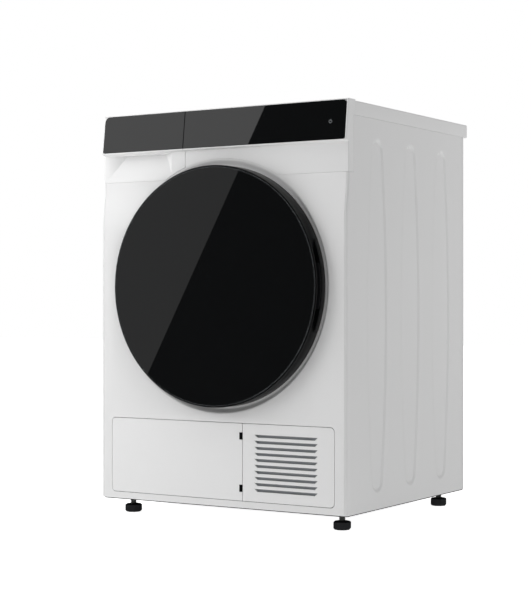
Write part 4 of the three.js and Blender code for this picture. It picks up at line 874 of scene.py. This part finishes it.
# ---------------------------------------------------------------- kick area and feet
class DRYER_OT_kick(bpy.types.Operator):
    """Build the service flap and the louvred grille"""

    bl_idname = "dryer.kick"
    bl_label = "Kick area"

    def execute(self, context):
        corner = context.scene.dryer_casing.kick_corner * MM
        hinge_low, hinge_high = corners("flap_hinge")
        pivot = (53.5, 3.0, 0)
        knuckle = 14.0
        knuckles = (hinge_low.z + knuckle, hinge_high.z - knuckle)
        barrel, pin, notch = 3, 1.5, knuckle / 2 + 0.4
        z0, z1 = FLAP_LOW.z, FLAP_HIGH.z
        x0, x1 = FLAP_LOW.x, FLAP_HIGH.x
        flap = slab("y", [(x0, z0), (x1, z0), (x1, z1), (x0, z1)], 0, 3, (corner - SEAM, 1, 1, corner - SEAM))
        flap = joined(flap, rod("z", pivot, barrel, knuckles[0] - knuckle - 1, knuckles[1] + knuckle + 1, 32))
        for centre in knuckles:
            flap = cut(flap, block(
                pivot[0] - 2.4, x1 + 1, -1, pivot[1] + 4.8, centre - notch, centre + notch))
        flap = joined(flap, rod("z", pivot, pin, knuckles[0] - knuckle + 1, knuckles[1] + knuckle - 1, 24))
        piece("flap_moulding", flap, "abs_white_moulded", "flap", ["service_flap"], edge=0.5)
        x0, x1 = GRILLE_LOW.x, GRILLE_HIGH.x
        z0, z1 = GRILLE_LOW.z, GRILLE_HIGH.z
        thick = GRILLE_HIGH.y - GRILLE_LOW.y
        grille = slab("y", [(x0, z0), (x1, z0), (x1, z1), (x0, z1)], 0, thick, (1, corner, corner, 1))
        slots = 10
        pitch, first, height, slant = 12.13, 184.8, 5.8, 6.5
        left, right = 87.4, 234.5
        for i in range(slots):
            points = []
            for y in (-0.5, thick + 0.5):
                top = first - i * pitch
                points += [(left, y, top), (right, y, top),
                           (left + slant, y, top - height), (right - slant, y, top - height)]
            grille = cut(grille, wrapped(points))
        piece("grille_moulding", grille, "abs_white_moulded", "cabinet", ["louvre_grille"], edge=0.35)
        baffle = block(left - 6, right + 6, thick + 1.4, thick + 2.4, z0 + 8, z1 - 8)
        piece("grille_baffle", baffle, "polypropylene_grey", "cabinet", edge=0.2)
        return {"FINISHED"}


class DRYER_OT_feet(bpy.types.Operator):
    """Build the four screw-in feet"""

    bl_idname = "dryer.feet"
    bl_label = "Feet"

    def execute(self, context):
        rim, root, crest, pitch, turns = 18.4, 5.4, 6.5, 3, 13
        for name in ("foot_front_left", "foot_front_right", "foot_rear_left", "foot_rear_right"):
            low, high = corners(name)
            centre = ((low.x + high.x) / 2, (low.y + high.y) / 2, 0)
            pad = turned([(0, 0), (rim - 3, 0), (rim, 3), (rim, 15), (rim - 3, 17), (0, 17)], centre, "z", 8)
            rounded(pad, tall_edges(pad, 5), 0.8, 2)
            piece(name + "_pad", pad, "epdm_rubber", name, [name], edge=0.6, angle=25)
            thread = [(0, 16.5)]
            for i in range(turns):
                thread += [(root, 17.2 + pitch * i), (crest, 18.7 + pitch * i)]
            thread += [(root, high.z - 0.2), (0, high.z)]
            stud = turned(thread, centre, "z", 32)
            piece(name + "_stud", stud, "zinc_plated_steel", name)
        return {"FINISHED"}


# ---------------------------------------------------------------- door
class DRYER_OT_door(bpy.types.Operator):
    """Build the door: glass, ring with its finger recess, grip, liner and bowl"""

    bl_idname = "dryer.door"
    bl_label = "Door"

    def execute(self, context):
        edge = context.scene.dryer_door.glass_edge * MM
        radius = DISC_HIGH.x
        front = DISC_LOW.y
        disc = turned([
            (0, front), (radius - 40, front), (radius - edge, front),
            (radius - edge * 0.3, front + edge * 0.3), (radius, front + edge), (radius, DISC_HIGH.y),
            (0, DISC_HIGH.y)])
        piece("door_disc", disc, "printed_tempered_glass", "door", ["door_glass"], angle=12)

        # A pale grey ring over the ground edge of the glass. It is partly the frosted edge's own pale colour
        # and partly a painted highlight that stands in for the glint along the rim.
        pale_edge_painted_highlight = turned([
            (radius - edge - 0.2, front - 0.1), (radius + 0.05, front + edge),
            (radius + 0.05, front + edge + 0.5), (radius - 0.4, front + edge),
            (radius - edge - 0.4, front + 0.2)])
        piece("door_glass_edge_painted_highlight", pale_edge_painted_highlight, "polypropylene_grey", "door", angle=20)

        outer = RING_HIGH.x
        rear = RING_HIGH.y
        inner = outer - 2.7
        seat = DISC_HIGH.y + GAP
        flange = outer - 22.5
        lip = front + 1.5
        skirt = min(rear + 3, 10.4)  # the ring's outer wall runs on behind its rear face, into the dish
        ring = turned([
            (outer - 0.8, lip), (outer - 0.2, lip + 0.3), (outer, lip + 1), (outer, skirt - 1),
            (outer - 0.8, skirt), (inner, skirt), (inner, seat + 3), (flange, seat + 3), (flange, seat),
            (inner, seat), (inner, lip)])
        chord = GRIP_LOW.x - GAP
        grip_lip = -21.0
        grip_back = GRIP_HIGH.y + GAP
        half = GRIP_HIGH.z - GRIP_LOW.z + 6
        reach = half + 2
        notch = (DOOR_Z - HINGE_NOTCH_HALF, DOOR_Z + HINGE_NOTCH_HALF)
        recess = kept(
            rod("y", (0, 0, DOOR_Z), outer - 0.01, seat + 2, rear - 0.5),
            block(chord - 3, outer + 1, seat + 1, rear, DOOR_Z - reach, DOOR_Z + reach))
        ring = cut(
            joined(ring, recess),
            block(chord, outer + 5, grip_lip, grip_back, DOOR_Z - half, DOOR_Z + half),
            block(-outer - 5, HINGE_NOTCH_X, seat - 0.1, skirt + 1, *notch))
        piece("door_ring_moulding", ring, "abs_black_moulded", "door", ["door_ring"], edge=0.4, angle=40)
        grip = kept(
            rod("y", (0, 0, DOOR_Z), outer - 1, GRIP_LOW.y, GRIP_HIGH.y),
            block(GRIP_LOW.x, outer, GRIP_LOW.y - 1, GRIP_HIGH.y + 1, GRIP_LOW.z, GRIP_HIGH.z))
        piece("door_grip_insert", grip, "black_lacquered_steel", "door", ["door_grip"], edge=0.8)

        face = 11.4
        step = BOWL_HIGH.x + 34.5
        bore = BOWL_HIGH.x + 0.5
        rim = LINER_HIGH.x
        liner = turned([
            (bore, 17.4), (step - 2.6, 17.4), (step - 2.6, face - 2.6), (rim, face - 2.6), (rim, face - 0.8),
            (rim - 0.8, face), (step + 1, face), (step + 0.2, face + 0.5), (step, face + 1.5), (step, 18.8),
            (step - 0.4, 19.6), (step - 1.4, 20), (bore + 1, 20), (bore, 19)])
        liner = cut(liner, block(-outer - 5, HINGE_NOTCH_X, 0, 25, *notch))
        piece("door_liner_moulding", liner, "polypropylene_grey", "door", ["door_liner"], edge=0.3, angle=40)

        wide = BOWL_HIGH.x
        deep = BOWL_HIGH.y
        wall = 3.5
        curve = [(wide, 5), (wide, 17), (wide - 1.5, 30), (wide - 5, 45), (wide - 11, 60), (wide - 20, 73),
                 (wide - 34, deep - 6), (wide - 52, deep - 2.4), (wide - 80, deep - 0.6), (0, deep)]
        inside = [(max(r - wall, 0), max(y - wall * 0.6, 5) if i > 2 else y)
                  for i, (r, y) in enumerate(curve)]
        inside[-1] = (0, deep - wall)
        bowl = turned(curve[::-1] + inside)
        piece("door_bowl_moulding", bowl, "polycarbonate_smoked", "door", ["door_bowl"], angle=40)
        return {"FINISHED"}


# ---------------------------------------------------------------- drum and mouth
class DRYER_OT_drum(bpy.types.Operator):
    """Build the drum's shell and perforated back, and the seal round the mouth"""

    bl_idname = "dryer.drum"
    bl_label = "Drum"

    def execute(self, context):
        centre = (0, 0, DRUM_Z)
        outer = SHELL_HIGH.x
        start, end = SHELL_LOW.y, SHELL_HIGH.y
        shell = turned([
            (outer - 15, start), (outer - 2, start), (outer - 0.5, start + 0.5), (outer, start + 2),
            (outer, end), (outer - SHEET, end), (outer - SHEET, start + 3), (outer - 2.6, start + SHEET),
            (outer - 15, start + SHEET)], centre)
        piece("drum_shell_sheet", shell, "stainless_drum", "drum", ["drum_shell"], angle=40)
        high = corners("drum_back")[1]
        rim = high.x
        face = high.y - SHEET
        hub = face - 12
        holes_in_ring, spoke = 36, 6  # every sixth hole is left out, which leaves plain spokes
        plate = turned([
            (0, hub), (60, hub), (63, hub + 0.6), (82, face - 0.6), (85, face), (rim, face),
            (rim, face + SHEET), (85, face + SHEET), (82, face + 0.6), (63, hub + SHEET + 0.6),
            (60, hub + SHEET), (0, hub + SHEET)], centre)
        holes = bmesh.new()
        for ring_radius in (152, 164, 176, 188, 200):
            for i in range(holes_in_ring):
                if i % spoke == 0:
                    continue
                angle = 2 * math.pi * i / holes_in_ring
                place = Matrix.Translation((
                    ring_radius * math.cos(angle), face, DRUM_Z + ring_radius * math.sin(angle)))
                bmesh.ops.create_cone(holes, cap_ends=True, segments=10, radius1=4, radius2=4, depth=8,
                                      matrix=place @ Matrix.Rotation(math.pi / 2, 4, "X"))
        bmesh.ops.recalc_face_normals(holes, faces=holes.faces[:])
        piece("drum_back_sheet", cut(plate, holes), "stainless_drum", "drum", ["drum_back"], angle=25)
        inner = 192.0
        seal = turned([
            (inner, 14.4), (inner + 3, 13.6), (inner + 7, 13.4), (inner + 9, 14.2), (inner + 10, 15.5),
            (inner + 10, 19.6), (inner, 19.6)])
        piece("mouth_seal", seal, "epdm_rubber", "cabinet", ["door_seal"], edge=0.3)
        return {"FINISHED"}


# ---------------------------------------------------------------- stage
AZIMUTH = math.radians(32.03)
CAMERA_PLACE = (1.7879, -2.9401, 0.4523)
LENS_MM = 94.4
SKY_LIT = 0.275
SKY_MIRRORED = 0.05
PANEL_LOW_W = 1.05
PANEL_HIGH_W = 5.0
FILL_W = 10.3
FILL_RIGHT_W = 8.0
OVERHEAD_W = 3.8
FLOOR_GLOW = 0.5
FLOOR_SEEN = 1.0


def soft_light(name, place, towards, size, watts, in_reflections=True):
    """A soft panel of light that the camera doesn't see."""
    lamp = bpy.data.lights.new(name, "AREA")
    lamp.shape = "RECTANGLE"
    lamp.size, lamp.size_y = size
    lamp.energy = watts
    obj = bpy.data.objects.new(name, lamp)
    obj.location = place
    obj.rotation_euler = (Vector(towards) - Vector(place)).to_track_quat("-Z", "Y").to_euler()
    obj.visible_camera = False
    obj.visible_glossy = in_reflections
    bpy.context.scene.collection.objects.link(obj)
    return obj


class DRYER_OT_stage(bpy.types.Operator):
    """Lay the floor and set the lights, the surroundings and the camera"""

    bl_idname = "dryer.stage"
    bl_label = "Stage"

    def execute(self, context):
        scene = context.scene
        bm = bmesh.new()
        bmesh.ops.create_grid(bm, x_segments=1, y_segments=1, size=12)
        bmesh.ops.translate(bm, verts=bm.verts[:], vec=(0, 0, -0.0005))
        mesh = bpy.data.meshes.new("floor")
        bm.to_mesh(mesh)
        bm.free()
        floor = bpy.data.objects.new("floor", mesh)
        scene.collection.objects.link(floor)
        tree, shader, place = surface("pale_floor")
        cloud = noise(tree, place, 900.0)
        tinted(tree, shader, cloud, "F2F2F2", 1.01)
        given(shader, Roughness=0.9, Emission_Color=(1, 1, 1, 1))
        camera_ray = add(tree, "LightPath").outputs["Is Camera Ray"]
        glow = add(tree, "MapRange", {"Value": camera_ray, "To Min": FLOOR_GLOW, "To Max": FLOOR_SEEN})
        tree.links.new(glow.outputs["Result"], shader.inputs["Emission Strength"])
        mesh.materials.append(bpy.data.materials["pale_floor"])
        floor.visible_glossy = False

        world = bpy.data.worlds.new("studio")
        world.use_nodes = True
        tree = world.node_tree
        tree.nodes.clear()
        path = add(tree, "LightPath").outputs
        lit, mirrored, seen = (
            add(tree, "Background", {"Color": (1, 1, 1, 1), "Strength": strength}).outputs[0]
            for strength in (SKY_LIT, SKY_MIRRORED, 1.0))
        soft = add(tree, "MixShader", {0: path["Is Glossy Ray"], 1: lit, 2: mirrored}).outputs[0]
        whole = add(tree, "MixShader", {0: path["Is Camera Ray"], 1: soft, 2: seen}).outputs[0]
        add(tree, "OutputWorld", {"Surface": whole})
        scene.world = world
        scene.view_settings.view_transform = "Standard"

        # Two panels at the left front: their leaning right edges cross the door and control glasses.
        for name, edge_x, edge_z, lean, width, height, watts in (
                ("panel_low", -1.125, 0.434, 28.6, 0.7, 1.07, PANEL_LOW_W),
                ("panel_high", -0.927, 1.393, 19.9, 1.7, 0.7, PANEL_HIGH_W)):
            lean = math.radians(lean)
            left = Vector((-math.cos(lean), 0, math.sin(lean)))
            panel = soft_light(name, (0, 0, 0), (0, 1, 0), (width, height), watts)
            middle = Vector((edge_x, FRONT_Y - 1.5, edge_z)) + left * width / 2
            panel.matrix_world = (Matrix.Translation(middle) @ Matrix.Rotation(lean, 4, "Y")
                                  @ Matrix.Rotation(math.pi / 2, 4, "X"))
        soft_light("fill_left", (-1.1, -1.0, 1.15), (-0.2, -0.26, 0.45), (0.8, 1.4), FILL_W, False)
        # The right side has a light of its own; one overhead lights the worktop and draws its edges.
        soft_light("fill_right", (1.5, 1.4, 0.9), (0.3, 0.1, 0.45), (0.8, 1.2), FILL_RIGHT_W, False)
        soft_light("overhead", (-0.1, -0.65, 1.9), (-0.1, -0.3, 0.6), (1.6, 0.5), OVERHEAD_W)

        camera = bpy.data.cameras.new("camera")
        camera.lens = LENS_MM
        camera.sensor_fit = "VERTICAL"
        camera.sensor_height = 36
        camera.dof.use_dof = False
        camera.clip_end = 50
        obj = bpy.data.objects.new("camera", camera)
        obj.location = CAMERA_PLACE
        obj.rotation_euler = (math.pi / 2 + math.radians(0.07), 0, AZIMUTH)
        scene.collection.objects.link(obj)
        scene.camera = obj
        return {"FINISHED"}


class DRYER_PT_panel(bpy.types.Panel):
    """The builder's steps in the 3D view's sidebar"""

    bl_idname = "DRYER_PT_panel"
    bl_label = "Tumble dryer"
    bl_space_type = "VIEW_3D"
    bl_region_type = "UI"
    bl_category = "Dryer"

    def draw(self, context):
        for group in (context.scene.dryer_casing, context.scene.dryer_door, context.scene.dryer_colours):
            column = self.layout.column(align=True)
            for name in group.__annotations__:
                column.prop(group, name)
        for operator in OPERATORS:
            self.layout.operator(operator.bl_idname)


SETTINGS = (DryerCasingSettings, DryerDoorSettings, DryerColourSettings)
OPERATORS = (
    DRYER_OT_stage, DRYER_OT_finishes, DRYER_OT_front_panel, DRYER_OT_side_panels, DRYER_OT_worktop,
    DRYER_OT_rear, DRYER_OT_fascia, DRYER_OT_drawer, DRYER_OT_kick, DRYER_OT_feet, DRYER_OT_door,
    DRYER_OT_drum,
)


def register():
    for cls in (*SETTINGS, *OPERATORS, DRYER_PT_panel):
        bpy.utils.register_class(cls)
    bpy.types.Scene.dryer_casing = bpy.props.PointerProperty(type=DryerCasingSettings)
    bpy.types.Scene.dryer_door = bpy.props.PointerProperty(type=DryerDoorSettings)
    bpy.types.Scene.dryer_colours = bpy.props.PointerProperty(type=DryerColourSettings)


def unregister():
    del bpy.types.Scene.dryer_colours
    del bpy.types.Scene.dryer_door
    del bpy.types.Scene.dryer_casing
    for cls in reversed((*SETTINGS, *OPERATORS, DRYER_PT_panel)):
        bpy.utils.unregister_class(cls)


def main():
    register()
    bpy.ops.dryer.stage()
    bpy.ops.dryer.finishes()
    bpy.ops.dryer.front_panel()
    bpy.ops.dryer.side_panels()
    bpy.ops.dryer.worktop()
    bpy.ops.dryer.rear()
    bpy.ops.dryer.fascia()
    bpy.ops.dryer.drawer()
    bpy.ops.dryer.kick()
    bpy.ops.dryer.feet()
    bpy.ops.dryer.door()
    bpy.ops.dryer.drum()


if __name__ == "__main__":
    main()
